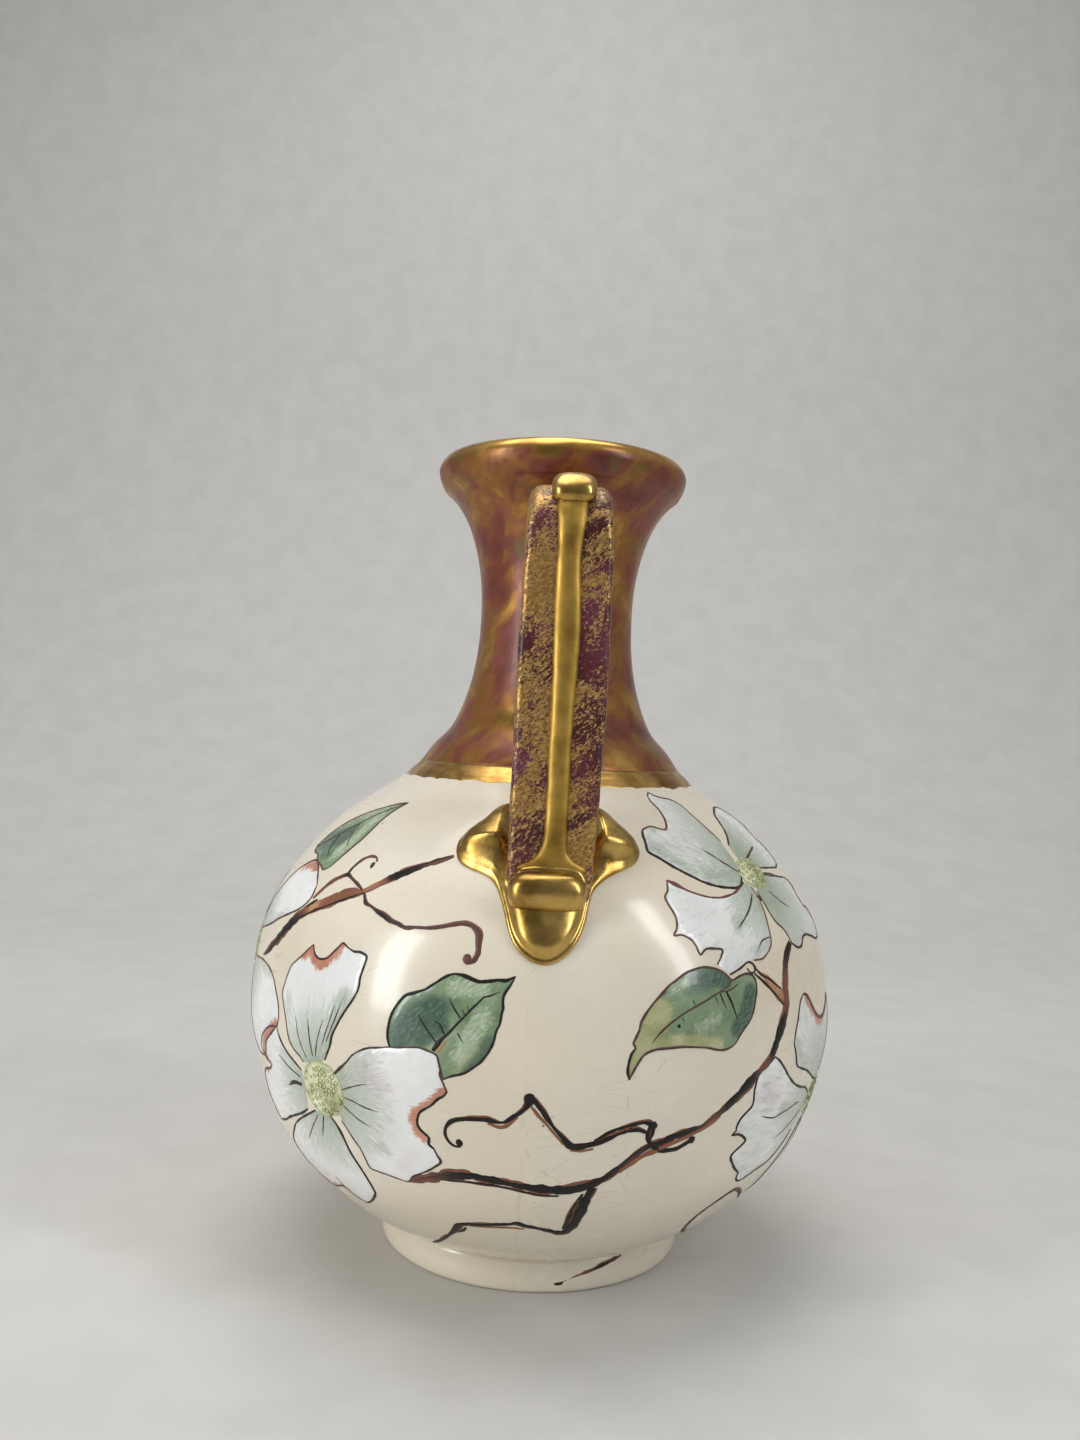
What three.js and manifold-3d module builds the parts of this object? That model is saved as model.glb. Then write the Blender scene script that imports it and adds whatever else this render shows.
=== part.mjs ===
// A porcelain vase with one strap handle: a turned foot, a hollow body, a waisted neck with a
// rolled lip, and a handle whose gilt mount spreads over the shoulder. Millimetres, +Z up, the
// origin at the middle of the foot's underside, the handle towards -Y.
import * as THREE from "three";
import { mergeVertices } from "three/addons/utils/BufferGeometryUtils.js";
import Module from "manifold-3d";

const wasm = await Module();
wasm.setup();

// Heights, stacked from the table up.
const FOOT_HEIGHT = 7.3;
const BODY_HEIGHT = 110.2;
const NECK_HEIGHT = 74;
const LIP_HEIGHT = 8.5;

// Foot ring.
const FOOT_RADIUS = 38.1;
const FOOT_WIDTH = 6.2;
const FOOT_EDGE = 1.3;

// Body and neck, as outer radii at their ends, their widest and their narrowest places.
const FOOT_JOINT_RADIUS = 37.6;
const BELLY_RADIUS = 73.5;
const NECK_JOINT_RADIUS = 36.5;
const NECK_BASE_RADIUS = 33.6;
const WAIST_RADIUS = 19.8;
const NECK_TOP_RADIUS = 30.6;
const BODY_WALL = 4.5;
const NECK_WALL = 4.2;

// Band round the neck's root, and the lip.
const BAND_HEIGHT = 3;
const BAND_PROUD = 0.5;
const BAND_SEAT = 3.8;
const LIP_RADIUS = 32.4;
const LIP_THICKNESS = 8.8;

// Handle: a flat strap, bent once, level under the lip and upright down to the shoulder.
const HANDLE_REACH = 62.2;
const ARM_DROP = 17.6;
const BEND_RADIUS = 9;
const STRAP_WIDTH = 19.2;
const STRAP_TOP_WIDTH = 17;
const STRAP_THICKNESS = 6.5;
const STRAP_EDGE = 1.2;
const RIB_WIDTH = 4.8;
const RIB_RISE = 1.6;
const RIB_EDGE = 0.6;

// Boss at the bend, as its width, its length along the bend and its depth.
const BOSS_SIZE = [8.7, 7, 5.4];
const BOSS_ANGLE = THREE.MathUtils.degToRad(52);

// Mount on the shoulder.
const BOLSTER_WIDTH = 14.8;
const BOLSTER_RADIUS = 4;
const BOLSTER_STAND = 2.8;
const TONGUE_WIDTH = 15.8;
const TONGUE_LENGTH = 13.5;
const TONGUE_RISE = 3.6;
const LOBE_SPREAD = 19.2;
const LOBE_HALF_WIDTH = 8.4;
const LOBE_LENGTH = 15;
const LOBE_RISE = 3.8;

// Room between neighbours where one is cut to the other's shape.
const GAP = 0.3;

// Smoothness.
const ROUND_STEPS = 48;
const BODY_STEPS = 26;
const NECK_STEPS = 16;
const EDGE_STEPS = 5;
const DOME_STEPS = 20;

const BODY_TOP = FOOT_HEIGHT + BODY_HEIGHT;
const NECK_TOP = BODY_TOP + NECK_HEIGHT;
const RIM_TOP = NECK_TOP + LIP_HEIGHT;

// The body's outline below and above the belly: share of the way from the end radius out to the
// belly, and share of the body's height.
const BODY_LOWER = [
  [0, 0],
  [0.28, 0.052],
  [0.51, 0.115],
  [0.72, 0.19],
  [0.84, 0.26],
  [0.97, 0.4],
  [1, 0.48],
];
const BODY_UPPER = [
  [0.96, 0.62],
  [0.89, 0.7],
  [0.77, 0.77],
  [0.63, 0.83],
  [0.43, 0.9],
  [0.14, 0.968],
  [0, 1],
];

// The neck's outline above the band: share of the way from the waist out to the end radius, and
// share of the neck's height.
const NECK_LOWER = [
  [1, 0.04],
  [0.78, 0.1],
  [0.45, 0.17],
  [0.17, 0.3],
  [0.03, 0.44],
  [0, 0.56],
];
const NECK_UPPER = [
  [0.04, 0.68],
  [0.18, 0.79],
  [0.42, 0.89],
  [0.7, 0.955],
  [1, 1],
];

function smoothed(points, steps) {
  const knots = points.map(([radius, z]) => new THREE.Vector3(radius, z, 0));
  const curve = new THREE.CatmullRomCurve3(knots, false, "centripetal");
  return curve.getPoints(steps).map(({ x, y }) => [x, y]);
}

function bodyOutline() {
  const place = (endRadius) => ([share, height]) => [
    endRadius + share * (BELLY_RADIUS - endRadius),
    FOOT_HEIGHT + height * BODY_HEIGHT,
  ];
  const lower = BODY_LOWER.map(place(FOOT_JOINT_RADIUS));
  const upper = BODY_UPPER.map(place(NECK_JOINT_RADIUS));
  return smoothed([...lower, ...upper], BODY_STEPS);
}

function neckOutline() {
  const place = (endRadius) => ([share, height]) => [
    WAIST_RADIUS + share * (endRadius - WAIST_RADIUS),
    BODY_TOP + height * NECK_HEIGHT,
  ];
  const lower = NECK_LOWER.map(place(NECK_BASE_RADIUS));
  const upper = NECK_UPPER.map(place(NECK_TOP_RADIUS));
  const firstHeight = BODY_TOP + BAND_HEIGHT;
  lower[0] = [NECK_BASE_RADIUS, firstHeight];
  return smoothed([...lower, ...upper], NECK_STEPS);
}

function bandOutline() {
  return [
    [NECK_JOINT_RADIUS + BAND_PROUD, BODY_TOP],
    [NECK_JOINT_RADIUS + BAND_PROUD * 0.6, BODY_TOP + BAND_HEIGHT * 0.5],
    [NECK_BASE_RADIUS + BAND_PROUD, BODY_TOP + BAND_HEIGHT],
  ];
}

// The outline moved sideways by a distance: outwards when positive.
function offsetOutline(outline, distance) {
  return outline.map(([radius, z], i) => {
    const before = outline[Math.max(i - 1, 0)];
    const after = outline[Math.min(i + 1, outline.length - 1)];
    const along = new THREE.Vector2(after[0] - before[0], after[1] - before[1]).normalize();
    return [radius + distance * along.y, z - distance * along.x];
  });
}

// The radius of a rising outline at a height.
function radiusAt(outline, z) {
  const above = outline.findIndex((point) => point[1] >= z);
  if (above <= 0) return outline[above < 0 ? outline.length - 1 : 0][0];
  const [lowRadius, lowZ] = outline[above - 1];
  const [highRadius, highZ] = outline[above];
  return THREE.MathUtils.mapLinear(z, lowZ, highZ, lowRadius, highRadius);
}

// The part of an outline between two heights, with its ends exactly on them.
function clipOutline(outline, lowZ, highZ) {
  const spare = 0.5;
  const inside = outline.filter(([, z]) => z > lowZ + spare && z < highZ - spare);
  return [[radiusAt(outline, lowZ), lowZ], ...inside, [radiusAt(outline, highZ), highZ]];
}

// The height on the shoulder where the body is this wide.
function shoulderHeight(outline, radius) {
  const above = outline.findIndex(
    (point, i) => i > 0 && outline[i - 1][0] >= radius && point[0] < radius,
  );
  const [wideRadius, lowZ] = outline[above - 1];
  const [narrowRadius, highZ] = outline[above];
  return THREE.MathUtils.mapLinear(radius, wideRadius, narrowRadius, lowZ, highZ);
}

// A turned geometry about Z.
function turned(profile) {
  const points = profile.map(([radius, z]) => new THREE.Vector2(radius, z));
  return new THREE.LatheGeometry(points, ROUND_STEPS).rotateX(Math.PI / 2);
}

// A closed geometry as a solid that can be cut.
function solidOf(geometry) {
  const plain = geometry.index ? geometry.toNonIndexed() : geometry.clone();
  plain.deleteAttribute("normal");
  plain.deleteAttribute("uv");
  const merged = mergeVertices(plain, 1e-4);
  const corners = merged.index.array;
  const kept = [];
  for (let i = 0; i < corners.length; i += 3) {
    const [a, b, c] = [corners[i], corners[i + 1], corners[i + 2]];
    if (a !== b && b !== c && c !== a) kept.push(a, b, c);
  }
  return new wasm.Manifold(
    new wasm.Mesh({
      numProp: 3,
      vertProperties: merged.attributes.position.array,
      triVerts: new Uint32Array(kept),
    }),
  );
}

function geometryOf(solid) {
  const mesh = solid.getMesh();
  const geometry = new THREE.BufferGeometry();
  geometry.setAttribute("position", new THREE.BufferAttribute(mesh.vertProperties, 3));
  geometry.setIndex(new THREE.BufferAttribute(mesh.triVerts, 1));
  geometry.computeVertexNormals();
  return geometry;
}

const body = bodyOutline();
const neck = neckOutline();

// Solid forms of the body and the neck, GAP larger all round, that cut what sits on them.
function bodyRoom() {
  const skin = offsetOutline(body, GAP);
  const bottom = [0, FOOT_HEIGHT];
  const top = [0, BODY_TOP + GAP];
  return solidOf(turned([bottom, [skin[0][0], FOOT_HEIGHT], ...skin.slice(1), top]));
}

function neckRoom() {
  const skin = clipOutline(offsetOutline(neck, GAP), BODY_TOP + BAND_HEIGHT, NECK_TOP);
  return solidOf(turned([[0, skin[0][1]], ...skin, [0, NECK_TOP]]));
}

function bandRoom() {
  const skin = offsetOutline(bandOutline(), GAP);
  return solidOf(turned([[0, skin[0][1]], ...skin, [0, skin[skin.length - 1][1]]]));
}

function footRingGeometry() {
  const inside = FOOT_RADIUS - FOOT_WIDTH;
  return turned([
    [inside + FOOT_EDGE, 0],
    [FOOT_RADIUS - FOOT_EDGE, 0],
    [FOOT_RADIUS - FOOT_EDGE * 0.3, FOOT_EDGE * 0.3],
    [FOOT_RADIUS, FOOT_EDGE],
    [FOOT_JOINT_RADIUS, FOOT_HEIGHT * 0.6],
    [FOOT_JOINT_RADIUS, FOOT_HEIGHT],
    [inside, FOOT_HEIGHT],
    [inside, FOOT_EDGE],
    [inside + FOOT_EDGE, 0],
  ]);
}

function bodyGeometry() {
  const floor = FOOT_HEIGHT + BODY_WALL;
  const inner = clipOutline(offsetOutline(body, -BODY_WALL), floor, BODY_TOP);
  return turned([[0, FOOT_HEIGHT], ...body, ...inner.reverse(), [0, floor]]);
}

function neckGeometry() {
  const seat = NECK_JOINT_RADIUS - BAND_SEAT;
  const bandTop = BODY_TOP + BAND_HEIGHT;
  const start = [seat, BODY_TOP];
  const inner = clipOutline(offsetOutline(neck, -NECK_WALL), bandTop, NECK_TOP);
  const rootBore = [Math.min(inner[0][0], seat - NECK_WALL / 2), BODY_TOP];
  inner[0] = [rootBore[0], bandTop];
  return turned([start, [seat, bandTop], ...neck, ...inner.reverse(), rootBore, start]);
}

function neckBandGeometry() {
  const inside = NECK_JOINT_RADIUS - BAND_SEAT + GAP;
  const bandTop = BODY_TOP + BAND_HEIGHT;
  return turned([
    [inside, BODY_TOP],
    ...bandOutline(),
    [inside, bandTop],
    [inside, BODY_TOP],
  ]);
}

function lipGeometry() {
  const middle = LIP_RADIUS - LIP_THICKNESS / 2;
  const rise = LIP_HEIGHT / 2;
  const start = -Math.PI * 0.3;
  const end = Math.PI * 1.3;
  const round = new THREE.EllipseCurve(
    middle,
    NECK_TOP + rise,
    LIP_THICKNESS / 2,
    rise,
    start,
    end,
  );
  const arc = round.getPoints(EDGE_STEPS * 2).map(({ x, y }) => [x, y]);
  const innerEdge = NECK_TOP_RADIUS - NECK_WALL - 1;
  const first = [innerEdge, NECK_TOP];
  return turned([first, [NECK_TOP_RADIUS, NECK_TOP], ...arc, first]);
}

// A flat plate seen from the side, as [distance from the axis, height], of a width across X.
function sidePlate(shape, width, edge) {
  const geometry = new THREE.ExtrudeGeometry(shape, {
    depth: width - 2 * edge,
    bevelThickness: edge,
    bevelSize: edge,
    bevelOffset: -edge,
    bevelSegments: 2,
    curveSegments: EDGE_STEPS,
  });
  geometry.translate(0, 0, edge - width / 2);
  const toHandleSide = new THREE.Matrix4().makeBasis(
    new THREE.Vector3(0, -1, 0),
    new THREE.Vector3(0, 0, 1),
    new THREE.Vector3(-1, 0, 0),
  );
  return geometry.applyMatrix4(toHandleSide);
}

const ARM_LEVEL = RIM_TOP - ARM_DROP - STRAP_THICKNESS / 2;
const BEND_CENTRE = [
  HANDLE_REACH - STRAP_THICKNESS / 2 - BEND_RADIUS,
  ARM_LEVEL - BEND_RADIUS,
];
const LANDING = shoulderHeight(body, HANDLE_REACH);

// The strap narrows a little towards its top.
function narrowStrap(geometry) {
  const place = geometry.getAttribute("position");
  const narrow = STRAP_TOP_WIDTH / STRAP_WIDTH;
  for (let i = 0; i < place.count; i++) {
    const share = THREE.MathUtils.smoothstep(place.getZ(i), LANDING, ARM_LEVEL);
    place.setX(i, place.getX(i) * THREE.MathUtils.lerp(1, narrow, share));
  }
  return geometry;
}

function strapBlank(grow) {
  const [bendAt, bendZ] = BEND_CENTRE;
  const half = STRAP_THICKNESS / 2 + grow;
  const start = radiusAt(neck, ARM_LEVEL) / 2;
  const end = LANDING - STRAP_THICKNESS;
  const shape = new THREE.Shape();
  shape.moveTo(start, ARM_LEVEL + half);
  shape.lineTo(bendAt, ARM_LEVEL + half);
  shape.absarc(bendAt, bendZ, BEND_RADIUS + half, Math.PI / 2, 0, true);
  shape.lineTo(bendAt + BEND_RADIUS + half, end);
  shape.lineTo(bendAt + BEND_RADIUS - half, end);
  shape.absarc(bendAt, bendZ, BEND_RADIUS - half, 0, Math.PI / 2, false);
  shape.lineTo(start, ARM_LEVEL - half);
  shape.closePath();
  return solidOf(narrowStrap(sidePlate(shape, STRAP_WIDTH + 2 * grow, STRAP_EDGE)));
}

// A domed oval: its middle at a place on the handle's side, its length tipped by an angle from
// upright towards the axis.
function dome([width, length, depth], [x, distance, z], tilt) {
  const geometry = new THREE.SphereGeometry(1, DOME_STEPS, DOME_STEPS / 2);
  geometry.rotateX(Math.PI / 2);
  geometry.scale(width / 2, depth, length / 2);
  geometry.rotateX(-tilt);
  geometry.translate(x, -distance, z);
  return solidOf(geometry);
}

function bolsterBlank(grow) {
  const radius = BOLSTER_RADIUS + grow;
  const straight = BOLSTER_WIDTH - 2 * BOLSTER_RADIUS;
  const geometry = new THREE.CapsuleGeometry(radius, straight, EDGE_STEPS, DOME_STEPS);
  geometry.rotateZ(Math.PI / 2);
  geometry.translate(0, -(HANDLE_REACH + BOLSTER_STAND), BOLSTER_LEVEL);
  return solidOf(geometry);
}

const BOLSTER_LEVEL = LANDING + 1;
const BOSS_DISTANCE = BEND_RADIUS + STRAP_THICKNESS / 2;

function ribGeometry() {
  const [bendAt, bendZ] = BEND_CENTRE;
  const inside = BOSS_DISTANCE + GAP;
  const outside = inside + RIB_RISE;
  const bossHalf = (BOSS_SIZE[1] / 2 + GAP) / BOSS_DISTANCE;
  const top = Math.max(BOSS_ANGLE - bossHalf, 0);
  const bottom = BOLSTER_LEVEL + BOLSTER_RADIUS + GAP;
  const shape = new THREE.Shape();
  shape.absarc(bendAt, bendZ, outside, top, 0, true);
  shape.lineTo(bendAt + outside, bottom);
  shape.lineTo(bendAt + inside, bottom);
  shape.absarc(bendAt, bendZ, inside, 0, top, false);
  shape.closePath();
  return sidePlate(shape, RIB_WIDTH, RIB_EDGE);
}

function bossSolid() {
  const place = [
    0,
    BEND_CENTRE[0] + BOSS_DISTANCE * Math.cos(BOSS_ANGLE),
    BEND_CENTRE[1] + BOSS_DISTANCE * Math.sin(BOSS_ANGLE),
  ];
  return dome(BOSS_SIZE.map((size, i) => (i === 2 ? size / 2 : size)), place, BOSS_ANGLE);
}

// The slope of the shoulder from upright, leaning towards the axis.
function shoulderTilt(z) {
  const reach = 3;
  return Math.atan2(radiusAt(body, z - reach) - radiusAt(body, z + reach), 2 * reach);
}

function tongueSolid() {
  const middle = BOLSTER_LEVEL - BOLSTER_RADIUS / 2;
  const tilt = shoulderTilt(middle - TONGUE_LENGTH / 2);
  const place = [0, radiusAt(body, middle), middle];
  const oval = dome([TONGUE_WIDTH, 2 * TONGUE_LENGTH, TONGUE_RISE], place, tilt);
  const cover = new THREE.BoxGeometry(STRAP_WIDTH * 2, BELLY_RADIUS, BODY_HEIGHT);
  cover.translate(0, -BELLY_RADIUS, BOLSTER_LEVEL + BODY_HEIGHT / 2);
  return oval.subtract(solidOf(cover));
}

// Each lobe sits on the shoulder level with the strap's inner face.
function lobeSolid(side) {
  const x = side * (LOBE_SPREAD - LOBE_HALF_WIDTH);
  const radius = HANDLE_REACH - STRAP_THICKNESS;
  const z = shoulderHeight(body, radius);
  const distance = Math.sqrt(radius * radius - x * x);
  return dome([2 * LOBE_HALF_WIDTH, LOBE_LENGTH, LOBE_RISE], [x, distance, z], shoulderTilt(z));
}

const onBody = bodyRoom();
const onNeck = neckRoom().add(bandRoom());
const besideStrap = strapBlank(GAP);
const besideBolster = bolsterBlank(GAP);

const strapSolid = strapBlank(0).subtract(onBody).subtract(onNeck);
const seated = (solid) => solid.subtract(besideStrap).subtract(onBody).subtract(onNeck);

function finish(color, roughness, metalness) {
  return new THREE.MeshStandardMaterial({ color, roughness, metalness });
}

const IVORY = [0xe9dcc0, 0.18, 0];
const SPONGED = [0x6d3a30, 0.3, 0.35];
const GILT = [0xa88432, 0.24, 1];

const vase = new THREE.Group();

function add(name, geometry, [color, roughness, metalness]) {
  const mesh = new THREE.Mesh(geometry, finish(color, roughness, metalness));
  mesh.name = name;
  vase.add(mesh);
}

add("foot_ring", footRingGeometry(), IVORY);
add("body", bodyGeometry(), IVORY);
add("neck", neckGeometry(), SPONGED);
add("neck_band", neckBandGeometry(), GILT);
add("lip", lipGeometry(), GILT);
add("handle_strap", geometryOf(strapSolid), SPONGED);
add("handle_rib", ribGeometry(), GILT);
add("handle_boss", geometryOf(bossSolid().subtract(besideStrap)), GILT);
add("handle_bolster", geometryOf(seated(bolsterBlank(0))), GILT);
add("mount_tongue", geometryOf(seated(tongueSolid()).subtract(besideBolster)), GILT);
add("mount_lobe_left", geometryOf(seated(lobeSolid(-1))), GILT);
add("mount_lobe_right", geometryOf(seated(lobeSolid(1))), GILT);

export default vase;
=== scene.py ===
"""Looks of a hand-painted porcelain vase: an ivory body with dogwood blooms drawn in enamel, a
neck and strap handle sponged in maroon and gold, and a gilt lip, rib and handle mount."""

import math
from random import Random

import bpy
import numpy as np
from mathutils import Matrix, Vector, noise
from mathutils.geometry import delaunay_2d_cdt


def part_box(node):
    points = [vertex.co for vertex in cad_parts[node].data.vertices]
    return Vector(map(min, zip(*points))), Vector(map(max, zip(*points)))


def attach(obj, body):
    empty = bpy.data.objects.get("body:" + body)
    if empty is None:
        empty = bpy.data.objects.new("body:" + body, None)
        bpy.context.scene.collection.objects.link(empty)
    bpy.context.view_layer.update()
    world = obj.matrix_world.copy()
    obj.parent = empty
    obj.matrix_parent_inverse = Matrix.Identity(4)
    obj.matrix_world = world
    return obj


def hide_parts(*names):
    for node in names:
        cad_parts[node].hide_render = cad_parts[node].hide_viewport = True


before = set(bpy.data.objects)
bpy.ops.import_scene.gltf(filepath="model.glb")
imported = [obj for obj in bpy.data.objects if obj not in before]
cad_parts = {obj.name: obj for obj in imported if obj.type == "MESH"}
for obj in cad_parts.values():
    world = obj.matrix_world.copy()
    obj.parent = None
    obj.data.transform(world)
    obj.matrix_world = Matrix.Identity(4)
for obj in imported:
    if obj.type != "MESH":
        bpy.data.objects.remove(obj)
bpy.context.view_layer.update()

MM = 0.001  # shapes are worked out in millimetres and made in metres


def node_box(node):
    """A CAD node's lowest and highest corners in millimetres."""
    low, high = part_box(node)
    return np.array(low) / MM, np.array(high) / MM


# Sizes that come from the CAD nodes.
strap_low, strap_high = node_box("handle_strap")
bolster_low, bolster_high = node_box("handle_bolster")
boss_low, _ = node_box("handle_boss")
FOOT_RADIUS, _, FOOT_TOP = node_box("foot_ring")[1]
BELLY_RADIUS, _, BODY_TOP = node_box("body")[1]
NECK_TOP = node_box("neck")[1][2]
BAND_RADIUS, _, BAND_TOP = node_box("neck_band")[1]
LIP_RADIUS, _, RIM_TOP = node_box("lip")[1]
HANDLE_REACH = -strap_low[1]
ARM_TOP = strap_high[2] + 1.2

# Sizes of the turned walls.
FOOT_WIDTH = 6.2
FOOT_JOINT_RADIUS = 37.6
NECK_JOINT_RADIUS = 36.5
NECK_BASE_RADIUS = 33.6
WAIST_RADIUS = 19.8
NECK_TOP_RADIUS = 30.6
BODY_WALL = 4.5
NECK_WALL = 4.2

# Outlines as a share of the way from the end radius to the widest or narrowest one, and a share
# of the height.
BODY_LOWER = [(0, 0), (0.28, 0.052), (0.51, 0.115), (0.72, 0.19), (0.84, 0.26), (0.97, 0.4), (1, 0.48)]
BODY_UPPER = [(0.96, 0.62), (0.89, 0.7), (0.77, 0.77), (0.63, 0.83), (0.43, 0.9), (0.14, 0.968), (0, 1)]
NECK_LOWER = [(1, 0.04), (0.78, 0.1), (0.45, 0.17), (0.17, 0.3), (0.03, 0.44), (0, 0.56)]
NECK_UPPER = [(0.04, 0.68), (0.18, 0.79), (0.42, 0.89), (0.7, 0.955), (1, 1)]

# Length of one degree round the belly, which lays the painting out flat.
DEGREE = math.radians(BELLY_RADIUS)


# ---------------------------------------------------------------- curves and the body's surface


def smooth_path(points, step, closed=False):
    """A centripetal curve through points, with extra columns carried along."""
    knots = np.array(points, float)
    if closed:
        ring = np.vstack([knots[-1], knots, knots[0], knots[1]])
        spans = len(knots)
    else:
        ring = np.vstack([2 * knots[0] - knots[1], knots, 2 * knots[-1] - knots[-2]])
        spans = len(knots) - 1
    pieces = []
    for i in range(spans):
        p0, p1, p2, p3 = ring[i : i + 4]
        gaps = [max(float(np.linalg.norm((b - a)[:2])), 1e-6) for a, b in ((p0, p1), (p1, p2), (p2, p3))]
        t0 = 0.0
        t1 = t0 + math.sqrt(gaps[0])
        t2 = t1 + math.sqrt(gaps[1])
        t3 = t2 + math.sqrt(gaps[2])
        count = max(1, math.ceil(gaps[1] / step))
        t = (t1 + (t2 - t1) * np.arange(count) / count)[:, None]
        a1 = (t1 - t) / (t1 - t0) * p0 + (t - t0) / (t1 - t0) * p1
        a2 = (t2 - t) / (t2 - t1) * p1 + (t - t1) / (t2 - t1) * p2
        a3 = (t3 - t) / (t3 - t2) * p2 + (t - t2) / (t3 - t2) * p3
        b1 = (t2 - t) / (t2 - t0) * a1 + (t - t0) / (t2 - t0) * a2
        b2 = (t3 - t) / (t3 - t1) * a2 + (t - t1) / (t3 - t1) * a3
        pieces.append((t2 - t) / (t2 - t1) * b1 + (t - t1) / (t2 - t1) * b2)
    if not closed:
        pieces.append(knots[-1:])
    return np.vstack(pieces)


def unit(value):
    return np.clip(value, 0, 1)


def eased(share):
    """A share from 0 to 1 with a soft start and a soft end."""
    share = unit(share)
    return share * share * (3 - 2 * share)


def domed(share):
    """A quarter round: steep at 0 and level at 1."""
    return np.sqrt(1 - (1 - unit(share)) ** 2)


def between(shares, end_radius, far_radius, low, height):
    return [(end_radius + s * (far_radius - end_radius), low + h * height) for s, h in shares]


def body_outline(step):
    height = BODY_TOP - FOOT_TOP
    lower = between(BODY_LOWER, FOOT_JOINT_RADIUS, BELLY_RADIUS, FOOT_TOP, height)
    upper = between(BODY_UPPER, NECK_JOINT_RADIUS, BELLY_RADIUS, FOOT_TOP, height)
    return smooth_path(lower + upper, step)


def neck_outline(step):
    height = NECK_TOP - BODY_TOP
    lower = between(NECK_LOWER, WAIST_RADIUS, NECK_BASE_RADIUS, BODY_TOP, height)
    upper = between(NECK_UPPER, WAIST_RADIUS, NECK_TOP_RADIUS, BODY_TOP, height)
    lower[0] = (NECK_BASE_RADIUS, BAND_TOP)
    return smooth_path(lower + upper, step)


def inner_outline(outline, wall, low, high):
    """The inside of a rising outline, a wall's thickness in, ending exactly on two heights."""
    along = np.gradient(outline, axis=0)
    along /= np.linalg.norm(along, axis=1)[:, None]
    inner = outline - wall * np.stack([along[:, 1], -along[:, 0]], 1)
    kept = inner[(inner[:, 1] > low + 0.3) & (inner[:, 1] < high - 0.3)]
    ends = [(np.interp(z, inner[:, 1], inner[:, 0]), z) for z in (low, high)]
    return np.vstack([ends[0], kept, ends[1]])


FOOT_SIDE = [(FOOT_RADIUS, 0), (FOOT_RADIUS, 1.3), (FOOT_JOINT_RADIUS, FOOT_TOP * 0.6)]
PAINTED = np.vstack([FOOT_SIDE, body_outline(0.4)])


def painted_radius(z):
    return np.interp(z, PAINTED[:, 1], PAINTED[:, 0])


def body_point(around, z, lift):
    """Where a spot lies: degrees round from the handle, height, and millimetres off the glaze."""
    reach = 0.6
    slope = (painted_radius(z + reach) - painted_radius(z - reach)) / (2 * reach)
    size = np.sqrt(1 + slope * slope)
    radius = painted_radius(z) + lift / size
    turn = np.radians(around)
    return np.stack([radius * np.sin(turn), -radius * np.cos(turn), z - lift * slope / size], -1)


def on_body(flat, lift):
    """Flat painting coordinates, millimetres round the belly and height, as places on the body."""
    return body_point(flat[:, 0] / DEGREE, flat[:, 1], lift)


# ---------------------------------------------------------------------------------- mesh making


class Clay:
    """Vertices, faces and painted values that become one piece."""

    def __init__(self):
        self.verts = []
        self.faces = []
        self.values = {}
        self.count = 0

    def add(self, verts, faces, **values):
        start = self.count
        verts = np.asarray(verts, float)
        self.verts.append(verts)
        self.faces.extend(tuple(start + i for i in face) for face in faces)
        self.count += len(verts)
        for name in set(self.values) | set(values):
            column = self.values.setdefault(name, [np.zeros(start)] if start else [])
            column.append(np.broadcast_to(values.get(name, 0.0), (len(verts),)).astype(float))

    def mesh(self, name):
        """The mesh; far and turn become its UV map, and other painted values its attributes."""
        mesh = bpy.data.meshes.new(name)
        mesh.from_pydata((np.vstack(self.verts) * MM).tolist(), [], self.faces)
        columns = {key: np.concatenate(parts) for key, parts in self.values.items()}
        far, turn = columns.pop("far", None), columns.pop("turn", None)
        for key, column in columns.items():
            layer = mesh.attributes.new(key, "FLOAT", "POINT")
            layer.data.foreach_set("value", column.astype(np.float32))
        if far is not None:
            corners = np.zeros(len(mesh.loops), np.int32)
            mesh.loops.foreach_get("vertex_index", corners)
            pairs = np.stack([far[corners], turn[corners]], 1)
            layer = mesh.uv_layers.new(name="paint")
            layer.uv.foreach_set("vector", pairs.astype(np.float32).ravel())
        mesh.polygons.foreach_set("use_smooth", np.ones(len(mesh.polygons), bool))
        mesh.update()
        return mesh


def in_scene(name, data):
    thing = bpy.data.objects.new(name, data)
    bpy.context.scene.collection.objects.link(thing)
    return thing


def piece_of(name, mesh, material, slot, *nodes):
    piece = in_scene(name, mesh)
    if not mesh.materials:
        mesh.materials.append(material)
    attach(piece, "root")
    if nodes:
        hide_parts(*nodes)


def facing_out(mesh):
    """Turns the faces round if they enclose a negative volume."""
    mesh.calc_loop_triangles()
    places = np.zeros(len(mesh.vertices) * 3)
    mesh.vertices.foreach_get("co", places)
    corners = np.zeros(len(mesh.loop_triangles) * 3, np.int32)
    mesh.loop_triangles.foreach_get("vertices", corners)
    a, b, c = places.reshape(-1, 3)[corners.reshape(-1, 3)].transpose(1, 0, 2)
    if np.einsum("ij,ij->i", a, np.cross(b, c)).sum() < 0:
        mesh.flip_normals()
    return mesh


def clay_piece(name, clay, material, slot, *nodes):
    piece_of(name, facing_out(clay.mesh(name)), material, slot, *nodes)


def ring_faces(rings, count):
    """Faces between rings of points that follow one another, from the last back to the first."""
    faces = []
    for i in range(rings):
        here, ahead = i * count, (i + 1) % rings * count
        steps = [(k, (k + 1) % count) for k in range(count)]
        faces += [(here + k, here + m, ahead + m, ahead + k) for k, m in steps]
    return faces


def open_faces(rings, count):
    """The same without the last step, which would join the last ring to the first."""
    return ring_faces(rings, count)[:-count]


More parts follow.
